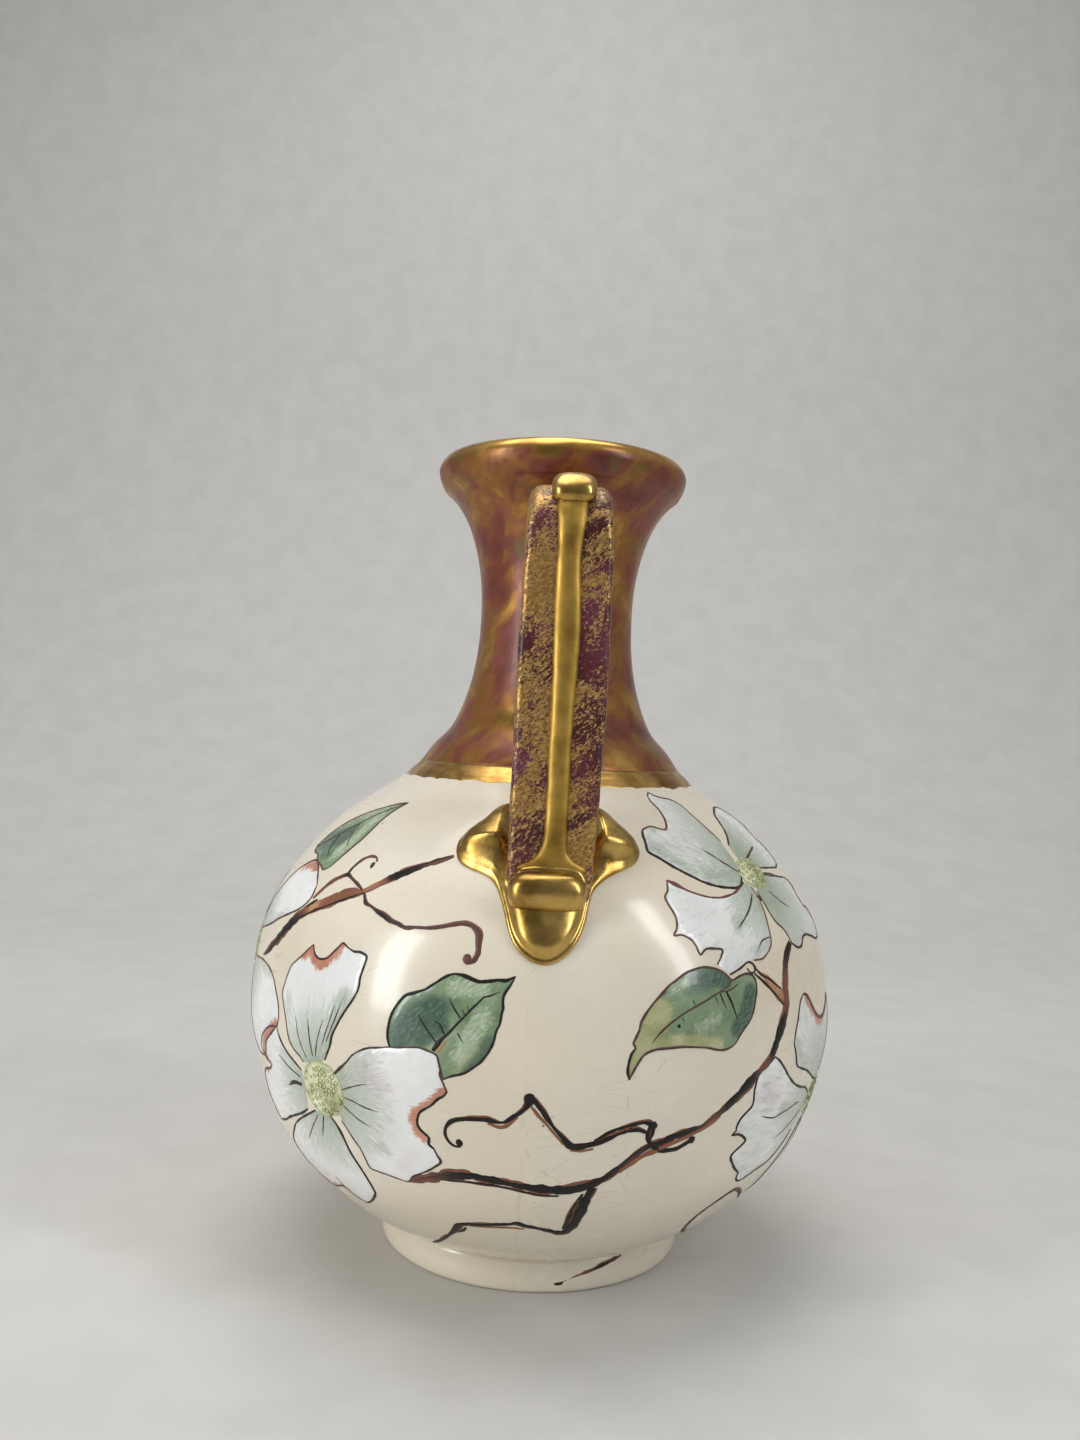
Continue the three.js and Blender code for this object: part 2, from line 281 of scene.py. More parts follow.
def tube_faces(rings, count):
    """The same with both ends closed by a flat cap."""
    last = (rings - 1) * count
    caps = [tuple(range(count - 1, -1, -1)), tuple(range(last, last + count))]
    return open_faces(rings, count) + caps


class Nodes:
    """A node tree, built one node at a time."""

    def __init__(self, tree):
        self.tree = tree

    def put(self, value, socket):
        if isinstance(value, bpy.types.NodeSocket):
            self.tree.links.new(value, socket)
        else:
            socket.default_value = value

    def node(self, kind, inputs=None, **settings):
        node = self.tree.nodes.new(kind)
        for key, value in settings.items():
            setattr(node, key, value)
        for key, value in (inputs or {}).items():
            self.put(value, node.inputs[key])
        return node


# -------------------------------------------------------------------------------------- finishes


def srgb(red, green, blue):
    """A colour named by its 0 to 255 values, as the linear colour that a shader takes."""
    shares = (red / 255, green / 255, blue / 255)
    return (*(c / 12.92 if c <= 0.04045 else ((c + 0.055) / 1.055) ** 2.4 for c in shares), 1.0)


def grey(value):
    return (value, value, value, 1)


SOCKETS = {
    "coat_weight": "Coat Weight",
    "coat_roughness": "Coat Roughness",
    "ior": "IOR",
    "metallic": "Metallic",
    "specular": "Specular IOR Level",
}


class Finish(Nodes):
    """A node material, built up towards what its shader takes."""

    def __init__(self, name, **sockets):
        self.material = bpy.data.materials.new(name)
        self.material.use_nodes = True
        super().__init__(self.material.node_tree)
        self.shader = self.tree.nodes["Principled BSDF"]
        for key, value in sockets.items():
            self.shader.inputs[SOCKETS[key]].default_value = value

    def shader_node(self, kind, inputs=None, **settings):
        return self.node("ShaderNode" + kind, inputs, **settings)

    def place(self, scale=(1, 1, 1), turn=(0, 0, 0), uv=False):
        source = self.shader_node("TexCoord").outputs["UV" if uv else "Object"]
        inputs = {"Vector": source, "Rotation": turn, "Scale": scale}
        return self.shader_node("Mapping", inputs).outputs[0]

    def slanted(self, turn, scale):
        """Coordinates stretched after they have been turned, so that streaks run at a slant."""
        inputs = {"Vector": self.place(turn=turn), "Scale": scale}
        return self.shader_node("Mapping", inputs).outputs[0]

    def noise(self, vector, scale, detail=4.0, roughness=0.55, distortion=0.0):
        inputs = {"Vector": vector, "Scale": scale, "Detail": detail}
        inputs |= {"Roughness": roughness, "Distortion": distortion}
        return self.shader_node("TexNoise", inputs).outputs["Fac"]

    def cells(self, vector, scale, feature, size):
        inputs = {"Vector": vector, "Scale": scale}
        node = self.shader_node("TexVoronoi", inputs, feature=feature, voronoi_dimensions=size)
        return node.outputs["Distance"]

    def ramp(self, value, *stops):
        """A soft step: stops are (position, colour or grey)."""
        node = self.shader_node("ValToRGB", {"Fac": value})
        ramp = node.color_ramp
        ramp.interpolation = "EASE"
        while len(ramp.elements) < len(stops):
            ramp.elements.new(0.5)
        for element, (position, colour) in zip(ramp.elements, stops):
            element.position = position
            element.color = colour if isinstance(colour, tuple) else grey(colour)
        return node.outputs["Color"]

    def fade(self, value, start, end, first=0.0, last=1.0):
        return self.shader_node("MapRange", {0: value, 1: start, 2: end, 3: first, 4: last}).outputs[0]

    def painted(self, name):
        return self.shader_node("Attribute", attribute_name=name).outputs["Fac"]

    def mix(self, factor, first, second):
        return self.shader_node("Mix", {0: factor, 6: first, 7: second}, data_type="RGBA").outputs[2]

    def math(self, operation, first, second=0.0):
        return self.shader_node("Math", {0: first, 1: second}, operation=operation).outputs[0]

    def plus(self, first, second):
        return self.math("ADD", first, second)

    def minus(self, first, second):
        return self.math("SUBTRACT", first, second)

    def times(self, first, second):
        return self.math("MULTIPLY", first, second)

    def swing(self, value, size):
        """A noise turned into a swing to both sides of 0."""
        return self.times(self.minus(value, 0.5), size)

    def bump(self, height, distance, strength=1.0):
        inputs = {"Height": height, "Distance": distance * MM, "Strength": strength}
        self.put(self.shader_node("Bump", inputs).outputs["Normal"], self.shader.inputs["Normal"])

    def colour(self, value):
        self.put(value, self.shader.inputs["Base Color"])

    def metal(self, value):
        self.put(value, self.shader.inputs["Metallic"])

    def roughness(self, value):
        self.put(value, self.shader.inputs["Roughness"])

    def sheen(self, value, low, high):
        """Roughness that drifts between two values."""
        self.roughness(self.ramp(value, (0.3, low), (0.7, high)))


def ivory_glaze():
    """A warm ivory glaze with faint crazing, drifting tone and a few dark kiln specks."""
    f = Finish("ivory_glaze", coat_weight=0.4, coat_roughness=0.1, ior=1.5)
    place = f.place()
    drift = f.noise(place, 18, 3)
    tone = f.ramp(drift, (0.3, srgb(232, 219, 194)), (0.5, srgb(237, 226, 204)), (0.72, srgb(240, 231, 214)))
    split = f.shader_node("SeparateXYZ", {0: place})
    # Crazing runs mostly round the body: its cells are laid out by angle and by the way up the wall.
    behind = f.times(split.outputs["Y"], -1.0)
    around = f.times(f.math("ARCTAN2", split.outputs["X"], behind), 0.017)
    spoke = f.shader_node("CombineXYZ", {0: split.outputs["X"], 1: split.outputs["Y"]}).outputs[0]
    radius = f.shader_node("VectorMath", {0: spoke}, operation="LENGTH").outputs["Value"]
    half = f.math("SIGN", f.minus(split.outputs["Z"], 58 * MM))
    wall = f.times(f.minus(BELLY_RADIUS * MM, radius), half)
    sway = f.times(f.noise(place, 55, 1), 0.005)
    level = f.plus(f.plus(split.outputs["Z"], wall), sway)
    flat = f.shader_node("CombineXYZ", {0: f.plus(around, sway), 1: level}).outputs[0]
    crack = f.ramp(f.cells(flat, 330, "DISTANCE_TO_EDGE", "2D"), (0.0, 1.0), (0.026, 0.0))
    patchy = f.ramp(f.noise(place, 34, 3), (0.4, 0.0), (0.6, 1.0))
    seen = f.times(crack, patchy)
    craze = f.ramp(f.noise(place, 60, 2), (0.46, srgb(182, 165, 134)), (0.54, srgb(252, 246, 232)))
    tone = f.mix(f.times(seen, 0.42), tone, craze)
    speck = f.ramp(f.cells(place, 210, "F1", "3D"), (0.035, 1.0), (0.06, 0.0))
    rare = f.ramp(f.noise(place, 95, 2), (0.57, 0.0), (0.62, 1.0))
    tone = f.mix(f.times(speck, rare), tone, srgb(96, 82, 62))
    # The mould's seam runs up the body under the handle.
    drawn = f.swing(f.noise(place, 110, 3), 1.6 * MM)
    beside = f.math("ABSOLUTE", f.plus(f.plus(split.outputs["X"], 3.4 * MM), drawn))
    broken = f.ramp(f.noise(place, 150, 3), (0.4, 0.0), (0.65, 1.0))
    seam = f.fade(beside, 0.0, 0.7 * MM, 0.22, 0.0)
    seam = f.times(seam, broken)
    low = f.fade(split.outputs["Z"], 62 * MM, 82 * MM, 1.0, 0.0)
    near = f.fade(split.outputs["Y"], 0.0, -10 * MM, 0.0, 1.0)
    seam = f.times(f.times(seam, low), near)
    tone = f.mix(seam, tone, srgb(186, 168, 136))
    f.colour(tone)
    f.sheen(f.noise(place, 60, 4), 0.2, 0.3)
    f.bump(f.noise(place, 90, 3), 0.05, 0.5)
    return f.material


def strap_sponging():
    """Dark maroon lustre on the handle, dabbed with crisp slanting flecks of gold."""
    f = Finish("strap_sponging", coat_weight=0.1, coat_roughness=0.15, ior=1.5, specular=0.4)
    place = f.place()
    slanted = f.slanted((0, 0.7, 0), (0.5, 1, 1))
    ground = f.ramp(
        f.noise(place, 70, 3),
        (0.32, srgb(64, 24, 26)),
        (0.5, srgb(92, 38, 46)),
        (0.7, srgb(112, 54, 74)),
    )
    drift = f.noise(slanted, 130, 2, 0.5, 0.6)
    dabs = f.noise(slanted, 1900, 5, 0.72, 1.0)
    amount = f.plus(f.times(drift, 0.7), dabs)
    mask = f.ramp(amount, (0.82, 0.0), (0.88, 1.0))
    gilt = f.ramp(dabs, (0.4, srgb(150, 106, 48)), (0.66, srgb(222, 182, 112)))
    f.colour(f.mix(mask, ground, gilt))
    f.metal(f.times(mask, 0.72))
    f.roughness(f.mix(mask, grey(0.3), grey(0.42)))
    f.bump(f.plus(mask, f.times(dabs, 0.6)), 0.07, 0.6)
    return f.material


def neck_sponging(name, rim):
    """Softer drifts of ochre gold, maroon and rose on the neck, plain gold above the rim's height."""
    f = Finish(name, coat_weight=0.1, coat_roughness=0.14, ior=1.5, specular=0.35)
    place = f.place()
    slanted = f.slanted((0.3, 0.75, 0.2), (0.55, 1, 1))
    patches = f.noise(slanted, 125, 3, 0.5, 0.35)
    veil = f.noise(f.slanted((0.2, -0.5, 0), (0.7, 1, 1)), 100, 3, 0.5, 0.3)
    tone = f.ramp(
        patches,
        (0.3, srgb(98, 44, 36)),
        (0.44, srgb(124, 64, 46)),
        (0.54, srgb(148, 98, 48)),
        (0.7, srgb(182, 140, 66)),
    )
    rose = f.ramp(veil, (0.55, 0.0), (0.72, 0.7))
    tone = f.mix(rose, tone, srgb(142, 72, 70))
    olive = f.ramp(veil, (0.3, 0.7), (0.42, 0.0))
    tone = f.mix(olive, tone, srgb(112, 92, 36))
    gleam = f.ramp(patches, (0.4, 0.15), (0.62, 0.85))
    height = f.shader_node("SeparateXYZ", {0: place}).outputs["Z"]
    edge = f.plus(height, f.swing(veil, 2.0 * MM))
    band = f.fade(edge, (rim - 1.2) * MM, (rim + 1.0) * MM)
    f.colour(f.mix(band, tone, f.ramp(patches, (0.3, srgb(168, 124, 52)), (0.7, srgb(222, 176, 90)))))
    f.metal(f.mix(band, f.times(gleam, 0.75), grey(0.95)))
    f.roughness(f.mix(band, f.ramp(veil, (0.3, 0.3), (0.7, 0.42)), grey(0.24)))
    f.bump(f.plus(patches, f.noise(place, 500, 4)), 0.06, 0.4)
    return f.material


def burnished_gold(name, bright, dull, rough):
    """Burnished gilding, a little thin and brushed in places."""
    f = Finish(name, metallic=1.0, coat_weight=0.1, coat_roughness=0.1)
    place = f.place()
    wear = f.noise(place, 120, 5, 0.6)
    tone = f.ramp(wear, (0.3, dull), (0.62, bright))
    f.colour(tone)
    f.sheen(f.noise(place, 260, 4), rough, rough + 0.12)
    f.bump(f.noise(place, 420, 3), 0.03, 0.35)
    return f.material


def petal_enamel():
    """White enamel, greyed with green at the petal's root and touched with rust at its tip."""
    f = Finish("petal_enamel", coat_weight=0.3, coat_roughness=0.08, ior=1.5)
    streaks = f.noise(f.place(scale=(0.9, 5.5, 1), uv=True), 3.2, 5, 0.62, 0.3)
    fine = f.noise(f.place(scale=(1.2, 14, 1), uv=True), 4.0, 3)
    cloud = f.noise(f.place(), 70, 3)
    white = f.ramp(cloud, (0.3, srgb(240, 240, 237)), (0.7, srgb(254, 253, 250)))
    white = f.mix(f.ramp(fine, (0.5, 0.0), (0.8, 0.2)), white, srgb(216, 219, 216))
    white = f.mix(f.times(f.painted("blush"), 0.5), white, srgb(214, 186, 200))
    depth = f.plus(f.painted("shade"), f.swing(streaks, 1.1))
    wash = f.ramp(depth, (0.12, 0.0), (0.5, 0.6), (0.95, 1.0))
    wash = f.times(wash, f.ramp(f.painted("shade"), (0.0, 0.0), (0.2, 1.0)))
    green = f.ramp(fine, (0.35, srgb(142, 156, 132)), (0.7, srgb(198, 207, 188)))
    tone = f.mix(wash, white, green)
    patchy = f.noise(f.place(), 330, 4, 0.6, 0.5)
    ragged = f.plus(f.minus(patchy, 0.5), f.minus(fine, 0.5))
    rust = f.plus(f.painted("rust"), f.times(ragged, 1.3))
    burnt = f.ramp(cloud, (0.35, srgb(184, 96, 58)), (0.65, srgb(212, 138, 96)))
    near_tip = f.ramp(f.painted("rust"), (0.0, 0.0), (0.3, 1.0))
    rust = f.times(f.ramp(rust, (0.28, 0.0), (0.78, 0.9)), near_tip)
    tone = f.mix(rust, tone, burnt)
    f.colour(tone)
    f.sheen(streaks, 0.22, 0.34)
    f.bump(f.plus(streaks, fine), 0.05, 0.45)
    return f.material


def leaf_enamel():
    """Translucent leaf green, stroked from the midrib, deep on one side and yellowing to the tip."""
    f = Finish("leaf_enamel", coat_weight=0.35, coat_roughness=0.07, ior=1.5)
    streaks = f.noise(f.place(scale=(2.4, 7, 1), turn=(0, 0, 0.5), uv=True), 2.6, 5, 0.65, 0.4)
    cloud = f.noise(f.place(), 120, 4, 0.6, 0.5)
    mid = f.ramp(cloud, (0.32, srgb(104, 128, 94)), (0.55, srgb(134, 156, 120)), (0.75, srgb(168, 184, 152)))
    deep = f.ramp(streaks, (0.35, srgb(62, 86, 70)), (0.7, srgb(98, 124, 102)))
    pale = f.ramp(streaks, (0.3, srgb(156, 174, 142)), (0.7, srgb(194, 206, 180)))
    gold = f.ramp(cloud, (0.35, srgb(160, 164, 110)), (0.65, srgb(194, 194, 148)))
    jitter = f.swing(streaks, 0.9)

    def part(name):
        return f.ramp(f.plus(f.painted(name), jitter), (0.25, 0.0), (0.75, 1.0))

    tone = f.mix(part("pale"), mid, pale)
    tone = f.mix(part("gold"), tone, gold)
    tone = f.mix(part("deep"), tone, deep)
    f.colour(tone)
    f.sheen(streaks, 0.18, 0.3)
    f.bump(streaks, 0.05, 0.5)
    return f.material


def ink_enamel():
    """Drawn lines: dense black through sepia to rust and tan, with brush streaks along them."""
    f = Finish("ink_enamel", coat_weight=0.05, coat_roughness=0.2, ior=1.45, specular=0.3)
    streaks = f.noise(f.place(scale=(1.5, 9, 1), uv=True), 1.6, 5, 0.7, 0.3)
    grain = f.noise(f.place(), 900, 3)
    shift = f.swing(streaks, 0.42)
    tone = f.ramp(
        f.plus(f.painted("tone"), shift),
        (0.0, srgb(12, 10, 11)),
        (0.14, srgb(26, 20, 20)),
        (0.3, srgb(84, 56, 54)),
        (0.46, srgb(118, 74, 62)),
        (0.64, srgb(152, 96, 64)),
        (0.86, srgb(192, 148, 110)),
    )
    tone = f.mix(f.times(grain, 0.05), tone, srgb(150, 130, 112))
    f.colour(tone)
    f.sheen(streaks, 0.34, 0.5)
    f.bump(streaks, 0.05, 0.4)
    return f.material


def centre_enamel():
    """The yellow-green boss of a bloom."""
    f = Finish("centre_enamel", coat_weight=0.3, coat_roughness=0.1, ior=1.5)
    cloud = f.noise(f.place(), 330, 4, 0.6)
    tone = f.ramp(cloud, (0.32, srgb(196, 202, 146)), (0.5, srgb(228, 228, 182)), (0.7, srgb(248, 246, 212)))
    # Painted shade: the shade value mixes the boss towards dark olive.
    f.colour(f.mix(f.painted("shade"), tone, srgb(140, 150, 92)))
    f.sheen(cloud, 0.22, 0.36)
    f.bump(cloud, 0.06, 0.5)
    return f.material


def ringlet_enamel():
    """The small olive rings drawn on a bloom's centre."""
    f = Finish("ringlet_enamel", coat_weight=0.2, coat_roughness=0.1, ior=1.5)
    cloud = f.noise(f.place(), 600, 3)
    f.colour(f.ramp(cloud, (0.35, srgb(92, 102, 54)), (0.65, srgb(160, 168, 104))))
    f.sheen(cloud, 0.24, 0.36)
    f.bump(cloud, 0.03, 0.4)
    return f.material


GLAZE = ivory_glaze()
NECK_SPONGE = neck_sponging("neck_sponging", RIM_TOP - 2.6)
STRAP_SPONGE = strap_sponging()
GILT = burnished_gold("mount_gilding", srgb(200, 164, 92), srgb(146, 112, 50), 0.22)
RIB_GILT = burnished_gold("rib_gilding", srgb(196, 158, 78), srgb(150, 116, 48), 0.42)
BAND_GILT = burnished_gold("band_gilding", srgb(214, 170, 96), srgb(160, 112, 48), 0.24)
PETAL = petal_enamel()
LEAF = leaf_enamel()
INK = ink_enamel()
CENTRE = centre_enamel()
RINGLET = ringlet_enamel()


# ------------------------------------------------------------------------------- shapes by nodes


class ShapeNodes(Nodes):
    """A Geometry Nodes tree with named inputs, which ends in real geometry with a finish."""

    def __init__(self, name, given, result, inputs):
        super().__init__(bpy.data.node_groups.new(name, "GeometryNodeTree"))
        face = self.tree.interface
        face.new_socket(given, in_out="INPUT", socket_type="NodeSocketGeometry")
        self.inputs = {}
        for label, kind in inputs.items():
            socket = face.new_socket(label, in_out="INPUT", socket_type="NodeSocket" + kind)
            self.inputs[label] = socket.identifier
        face.new_socket(result, in_out="OUTPUT", socket_type="NodeSocketGeometry")
        self.source = self.node("NodeGroupInput").outputs

    def close(self, shape):
        real = self.node("GeometryNodeRealizeInstances", {0: shape}).outputs[0]
        inputs = {"Geometry": real, "Material": self.source["Finish"]}
        coated = self.node("GeometryNodeSetMaterial", inputs).outputs[0]
        self.node("NodeGroupOutput", {0: coated})

    def shaped(self, name, verts, edges, faces, values):
        """What the tree makes of a plain mesh, as a mesh of its own."""
        mesh = bpy.data.meshes.new(name + "_source")
        mesh.from_pydata(verts, edges, faces)
        carrier = in_scene(name + "_source", mesh)
        modifier = carrier.modifiers.new("shape", "NODES")
        modifier.node_group = self.tree
        for label, value in values.items():
            modifier[self.inputs[label]] = value
        bpy.context.view_layer.update()
        seen = carrier.evaluated_get(bpy.context.evaluated_depsgraph_get())
        made = bpy.data.meshes.new_from_object(seen)
        made.name = name
        carrier.modifiers.clear()
        bpy.data.objects.remove(carrier)
        return made


def turning_nodes():
    """Turns the object's own outline, a chain of edges in XZ, into a wall round Z."""
    inputs = {"Rounds": "Int", "Steps": "Int", "Finish": "Material"}
    tree = ShapeNodes("turned wall", "Outline", "Wall", inputs)
    curve = tree.node("GeometryNodeMeshToCurve", {"Mesh": tree.source["Outline"]}).outputs[0]
    sizes = {"Size X": 1.0, "Size Y": 1.0}
    counts = {"Vertices X": tree.source["Rounds"], "Vertices Y": tree.source["Steps"]}
    grid = tree.node("GeometryNodeMeshGrid", sizes | counts).outputs["Mesh"]
    corner = tree.node("GeometryNodeInputPosition").outputs[0]
    split = tree.node("ShaderNodeSeparateXYZ", {0: corner}).outputs
    share_round = tree.node("ShaderNodeMath", {0: split["X"], 1: 0.5}, operation="ADD").outputs[0]
    share_along = tree.node("ShaderNodeMath", {0: split["Y"], 1: 0.5}, operation="ADD").outputs[0]
    inputs = {"Curves": curve, "Factor": share_along}
    sample = tree.node("GeometryNodeSampleCurve", inputs, mode="FACTOR", use_all_curves=True)
    turn = tree.node("ShaderNodeMath", {0: share_round, 1: 2 * math.pi}, operation="MULTIPLY").outputs[0]
    inputs = {"Vector": sample.outputs["Position"], "Angle": turn}
    spun = tree.node("ShaderNodeVectorRotate", inputs, rotation_type="Z_AXIS").outputs[0]
    wall = tree.node("GeometryNodeSetPosition", {"Geometry": grid, "Position": spun}).outputs[0]
    welded = tree.node("GeometryNodeMergeByDistance", {"Geometry": wall, "Distance": 0.02 * MM}).outputs[0]
    tree.close(tree.node("GeometryNodeSetShadeSmooth", {"Geometry": welded}).outputs[0])
    return tree


def ringlet_nodes():
    """Scatters small drawn rings over the surface that it is given."""
    inputs = {"Spacing": "Float", "Ring radius": "Float", "Line radius": "Float", "Seed": "Int"}
    tree = ShapeNodes("scattered ringlets", "Pad", "Ringlets", inputs | {"Finish": "Material"})
    source = tree.source
    inputs = {"Mesh": source["Pad"], "Distance Min": source["Spacing"], "Density Max": 1600000.0}
    inputs["Seed"] = source["Seed"]
    scatter = "GeometryNodeDistributePointsOnFaces"
    spots = tree.node(scatter, inputs, distribute_method="POISSON").outputs
    circle = "GeometryNodeCurvePrimitiveCircle"
    ring = tree.node(circle, {"Resolution": 12, "Radius": source["Ring radius"]}).outputs["Curve"]
    section = tree.node(circle, {"Resolution": 4, "Radius": source["Line radius"]}).outputs["Curve"]
    bead = tree.node("GeometryNodeCurveToMesh", {"Curve": ring, "Profile Curve": section}).outputs[0]
    inputs = {2: 0.55, 3: 1.15, "Seed": source["Seed"]}
    size = tree.node("FunctionNodeRandomValue", inputs, data_type="FLOAT").outputs[1]
    inputs = {"Points": spots["Points"], "Instance": bead, "Rotation": spots["Rotation"], "Scale": size}
    tree.close(tree.node("GeometryNodeInstanceOnPoints", inputs).outputs[0])
    return tree


TURNING = turning_nodes()
RINGLETS = ringlet_nodes()


# ---------------------------------------------------------------------------------- turned walls


def turned(name, outline, rounds, spacing, material, slot, *nodes):
    """A closed outline of (radius, height) turned round the vase's axis."""
    chain = np.array(outline, float)
    verts = np.stack([chain[:, 0], np.zeros(len(chain)), chain[:, 1]], 1) * MM
    edges = [(i, i + 1) for i in range(len(chain) - 1)]
    length = np.linalg.norm(np.diff(chain, axis=0), axis=1).sum()
    values = {"Rounds": rounds + 1, "Steps": int(length / spacing) + 1, "Finish": material}
    wall = TURNING.shaped(name, verts.tolist(), edges, [], values)
    piece_of(name, facing_out(wall), material, slot, *nodes)


def rounded(points, radius, steps=5):
    """A chain of (radius, height) points with every inner corner rounded."""
    knots = [np.array(p, float) for p in points]
    chain = [knots[0]]
    for before, here, after in zip(knots, knots[1:], knots[2:]):
        back = before - here
        on = after - here
        reach = min(radius, np.linalg.norm(back) / 2, np.linalg.norm(on) / 2)
        start = here + back / np.linalg.norm(back) * reach
        end = here + on / np.linalg.norm(on) * reach
        for t in np.arange(steps + 1) / steps:
            chain.append((1 - t) ** 2 * start + 2 * t * (1 - t) * here + t * t * end)
    return [*chain, knots[-1]]


def make_foot():
    inside = FOOT_RADIUS - FOOT_WIDTH
    outline = [
        (inside, FOOT_TOP - 0.6), (inside, 0), (FOOT_RADIUS, 0), (FOOT_RADIUS, FOOT_TOP * 0.35),
        (FOOT_JOINT_RADIUS, FOOT_TOP * 0.65), (FOOT_JOINT_RADIUS, FOOT_TOP + 0.2),
        (inside, FOOT_TOP + 0.2), (inside, FOOT_TOP - 0.6),
    ]
    turned("foot_ring_glazed", rounded(outline, 1.4), 240, 0.5, GLAZE, "ivory_glaze", "foot_ring")


def make_body():
    outer = body_outline(0.9)
    floor = FOOT_TOP + BODY_WALL
    inner = inner_outline(outer, BODY_WALL, floor, BODY_TOP)[::-2]
    chain = [(0, FOOT_TOP), *outer, *inner, (0, floor)]
    turned("body_glazed", chain, 256, 1.25, GLAZE, "ivory_glaze", "body")


def make_neck():
    outer = neck_outline(0.9)
    inner = inner_outline(outer, NECK_WALL, BAND_TOP, NECK_TOP)[::-1]
    root = inner[-1][0]
    chain = [(root, BODY_TOP), (NECK_BASE_RADIUS - 0.6, BODY_TOP), *outer, *inner, (root, BODY_TOP)]
    turned("neck_sponged", chain, 192, 1.0, NECK_SPONGE, "sponged_glaze", "neck")


def make_lip():
    """The lip flares on from the neck's own curve and rolls over into the mouth."""
    flare = [(NECK_TOP_RADIUS - 0.5, NECK_TOP - 0.6), (NECK_TOP_RADIUS + 0.75, NECK_TOP + 1.0)]
    side = [(-0.2, NECK_TOP + 3.2), (0, NECK_TOP + 5)]
    crown = [(-1.0, RIM_TOP - 1.4), (-2.9, RIM_TOP - 0.15), (-4.8, RIM_TOP - 0.1), (-6.6, RIM_TOP - 1.4)]
    mouth = [(-7.4, RIM_TOP - 4), (-7.2, NECK_TOP + 1.5), (-5.9, NECK_TOP - 0.8)]
    flare += [(LIP_RADIUS + r, z) for r, z in side + crown + mouth]
    roll = smooth_path(flare, 0.5, closed=True)
    chain = np.vstack([roll, roll[:1]])
    turned("lip_gilded", chain, 192, 0.55, NECK_SPONGE, "burnished_gold", "lip")


def make_band():
    """The gilt line at the neck's root, brushed by hand: its lower edge wanders on the shoulder."""
    rounds = 360
    inside = NECK_BASE_RADIUS - 2
    proud = [(BAND_RADIUS - 0.7, BODY_TOP + 0.55), (BAND_RADIUS - 1.6, BODY_TOP + 1.5)]
    proud += [(NECK_BASE_RADIUS + 0.5, BAND_TOP - 0.5), (NECK_BASE_RADIUS + 0.05, BAND_TOP + 0.3)]
    proud += [(inside, BAND_TOP), (inside, BODY_TOP - 2.5)]
    rows = []
    for i in range(rounds):
        turn = 360 * i / rounds
        a = math.radians(turn)
        spot = Vector((math.cos(a) * 4, math.sin(a) * 4, 0))
        wander = noise.noise(spot * 2.3) * 0.7 + noise.noise(spot * 9) * 0.35
        low = BODY_TOP - 0.65 + wander * 0.6
        brushed = [(low, -0.05), (low + 0.2, 0.05), (BODY_TOP - 0.05, 0.1)]
        rows += [body_point(turn, z, lift) for z, lift in brushed]
        rows += [np.array([r * math.sin(a), -r * math.cos(a), z]) for r, z in proud]
    clay = Clay()
    clay.add(np.vstack(rows), ring_faces(rounds, len(rows) // rounds))
    clay_piece("neck_band_gilded", clay, BAND_GILT, "burnished_gold", "neck_band")


# ------------------------------------------------------------------------------ handle and mount

STRAP_THICKNESS = 6.5
# Heights with the strap's width, and how far the strap and the rib lean to one side there.
STRAP_WIDTHS = [
    (93, 15.6), (96.5, 17.4), (99, 18.2), (110, 18.7), (140, 19.7), (165, 19.0), (176, 18.4), (184, 18.2),
]
STRAP_LEANS = [(92, -0.1), (110, 0.2), (140, 0.75), (165, 0.95), (184, 1.0)]
RIB_LEANS = [(100, 0.2), (108, 0.8), (125, 0.9), (150, 1.3), (165, 1.0), (174, 1.3), (184, 1.6)]
BEND_RADIUS = 9.0
ARM_START = 18.0  # hidden behind the neck's wall
ARM_LEVEL = ARM_TOP - STRAP_THICKNESS / 2
BEND_OUT = HANDLE_REACH - STRAP_THICKNESS / 2 - BEND_RADIUS
BEND_UP = ARM_LEVEL - BEND_RADIUS


def handle_path(out, step):
    """Places and outward directions along the strap at a distance outside its middle line."""
    radius = BEND_RADIUS + out
    places = [(r, ARM_LEVEL + out, 0.0, 1.0) for r in np.arange(ARM_START, BEND_OUT, step)]
    turns = max(int(radius * math.pi / 2 / step), 8)
    for i in range(turns + 1):
        a = math.pi / 2 * (1 - i / turns)
        cos, sin = math.cos(a), math.sin(a)
        places.append((BEND_OUT + radius * cos, BEND_UP + radius * sin, cos, sin))
    upright = BEND_OUT + BEND_RADIUS
    for z in np.arange(BEND_UP - step, bolster_low[2] + 1.0, -step):
        # Near its foot the strap turns outward and lies on the shoulder.
        shoulder = painted_radius(z) + 2.6 - STRAP_THICKNESS / 2
        places.append((max(upright, shoulder) + out, z, 1.0, 0.0))
    return places


def from_table(table, z):
    heights, values = zip(*table)
    return float(np.interp(z, heights, values))


def hump(z, middle, reach):
    """1 at the middle, falling away smoothly to both sides."""
    return math.exp(-(((z - middle) / reach) ** 2))


def sweep(clay, places, section_at, leans):
    """A closed tube whose section, (across, out) pairs, may change along a path of places."""
    rings = []
    for i, (r, z, out_r, out_z) in enumerate(places):
        across, out = section_at(i, z).T
        rings.append(np.stack([across + from_table(leans, z), -(r + out * out_r), z + out * out_z], 1))
    clay.add(np.vstack(rings), tube_faces(len(rings), len(rings[0])))


